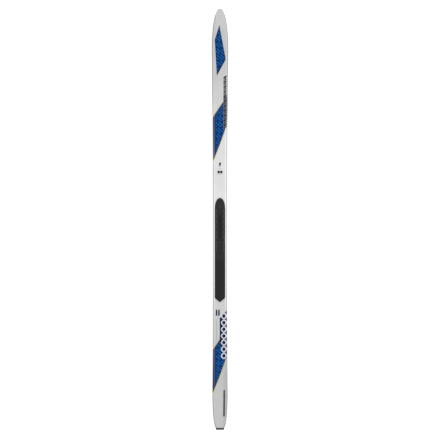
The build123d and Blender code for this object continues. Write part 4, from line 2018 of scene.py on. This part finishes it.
@dataclass
class Studio:
    """Plain pale floor, soft light and a camera straight above the ski."""

    view_height: float = 1.8735
    lens: float = 120.0
    sensor: float = 36.0
    light_height: float = 3.2
    sky: float = 1.08
    zenith: float = 0.06
    zenith_from: float = 0.72
    zenith_run: float = 0.2
    floor_half: float = 12.0
    floor_tone: float = 0.55
    floor_glow: float = 0.72

    def build(self) -> None:
        """Builds floor, lights and camera."""
        self.build_floor()
        self.build_lights()
        self.build_camera()
        bpy.context.scene.view_settings.view_transform = "Standard"

    def build_floor(self) -> None:
        """Makes a pale floor under the ski."""
        mesh = bpy.data.meshes.new("floor")
        half = self.floor_half
        corners = [(-half, -half, 0), (half, -half, 0), (half, half, 0), (-half, half, 0)]
        mesh.from_pydata(corners, [], [(0, 1, 2, 3)])
        material = bpy.data.materials.new("pale_floor")
        material.use_nodes = True
        shader = material.node_tree.nodes["Principled BSDF"]
        shader.inputs["Base Color"].default_value = (*[self.floor_tone] * 3, 1)
        shader.inputs["Roughness"].default_value = 0.9
        shader.inputs["Emission Color"].default_value = (1, 1, 1, 1)
        shader.inputs["Emission Strength"].default_value = self.floor_glow
        mesh.materials.append(material)
        floor = bpy.data.objects.new("floor", mesh)
        bpy.context.scene.collection.objects.link(floor)

    def build_lights(self) -> None:
        """Makes an even sky and two soft boxes."""
        world = bpy.data.worlds.new("soft_sky")
        world.use_nodes = True
        rig = NodeRig(world.node_tree)
        upward = rig.split(rig.add("ShaderNodeTexCoord").outputs["Generated"])[2]
        overhead = rig.math("SUBTRACT", upward, self.zenith_from)
        overhead = rig.clamped(rig.math("DIVIDE", overhead, self.zenith_run))
        power = rig.math("MULTIPLY_ADD", overhead, self.zenith - self.sky, self.sky)
        rig.wire(power, world.node_tree.nodes["Background"].inputs[1])
        world.node_tree.nodes["Background"].inputs[0].default_value = (1, 1, 1, 1)
        bpy.context.scene.world = world
        for name, place, power, size in (
            ("key_box", (3.4, 0.6, self.light_height), 55.0, 1.6),
            ("fill_box", (-3.6, -0.8, self.light_height), 22.0, 2.0),
        ):
            lamp = bpy.data.lights.new(name, "AREA")
            lamp.energy = power
            lamp.size = size
            box = bpy.data.objects.new(name, lamp)
            box.location = place
            box.rotation_mode = "QUATERNION"
            box.rotation_quaternion = (-Vector(place)).to_track_quat("-Z", "Y")
            bpy.context.scene.collection.objects.link(box)

    def build_camera(self) -> None:
        """Puts a long lens straight above the middle of the ski."""
        camera = bpy.data.cameras.new("camera")
        camera.sensor_width = self.sensor
        camera.lens = self.lens
        distance = self.view_height / self.sensor * self.lens
        holder = bpy.data.objects.new("camera", camera)
        holder.location = (0, 0, distance + SHAPE.mid_thickness)
        bpy.context.scene.collection.objects.link(holder)
        bpy.context.scene.camera = holder


def main() -> None:
    """Builds every sub-assembly in order."""
    nodes = PatternNodes()
    Topsheet().build()
    Sole().build(nodes)
    Guards().build()
    BindingPlate().build(nodes)
    InnerPieces().build()
    Studio().build()
    bpy.context.view_layer.update()


if __name__ == "__main__":
    logging.basicConfig(level=logging.INFO, format="%(name)s: %(message)s")
    main()
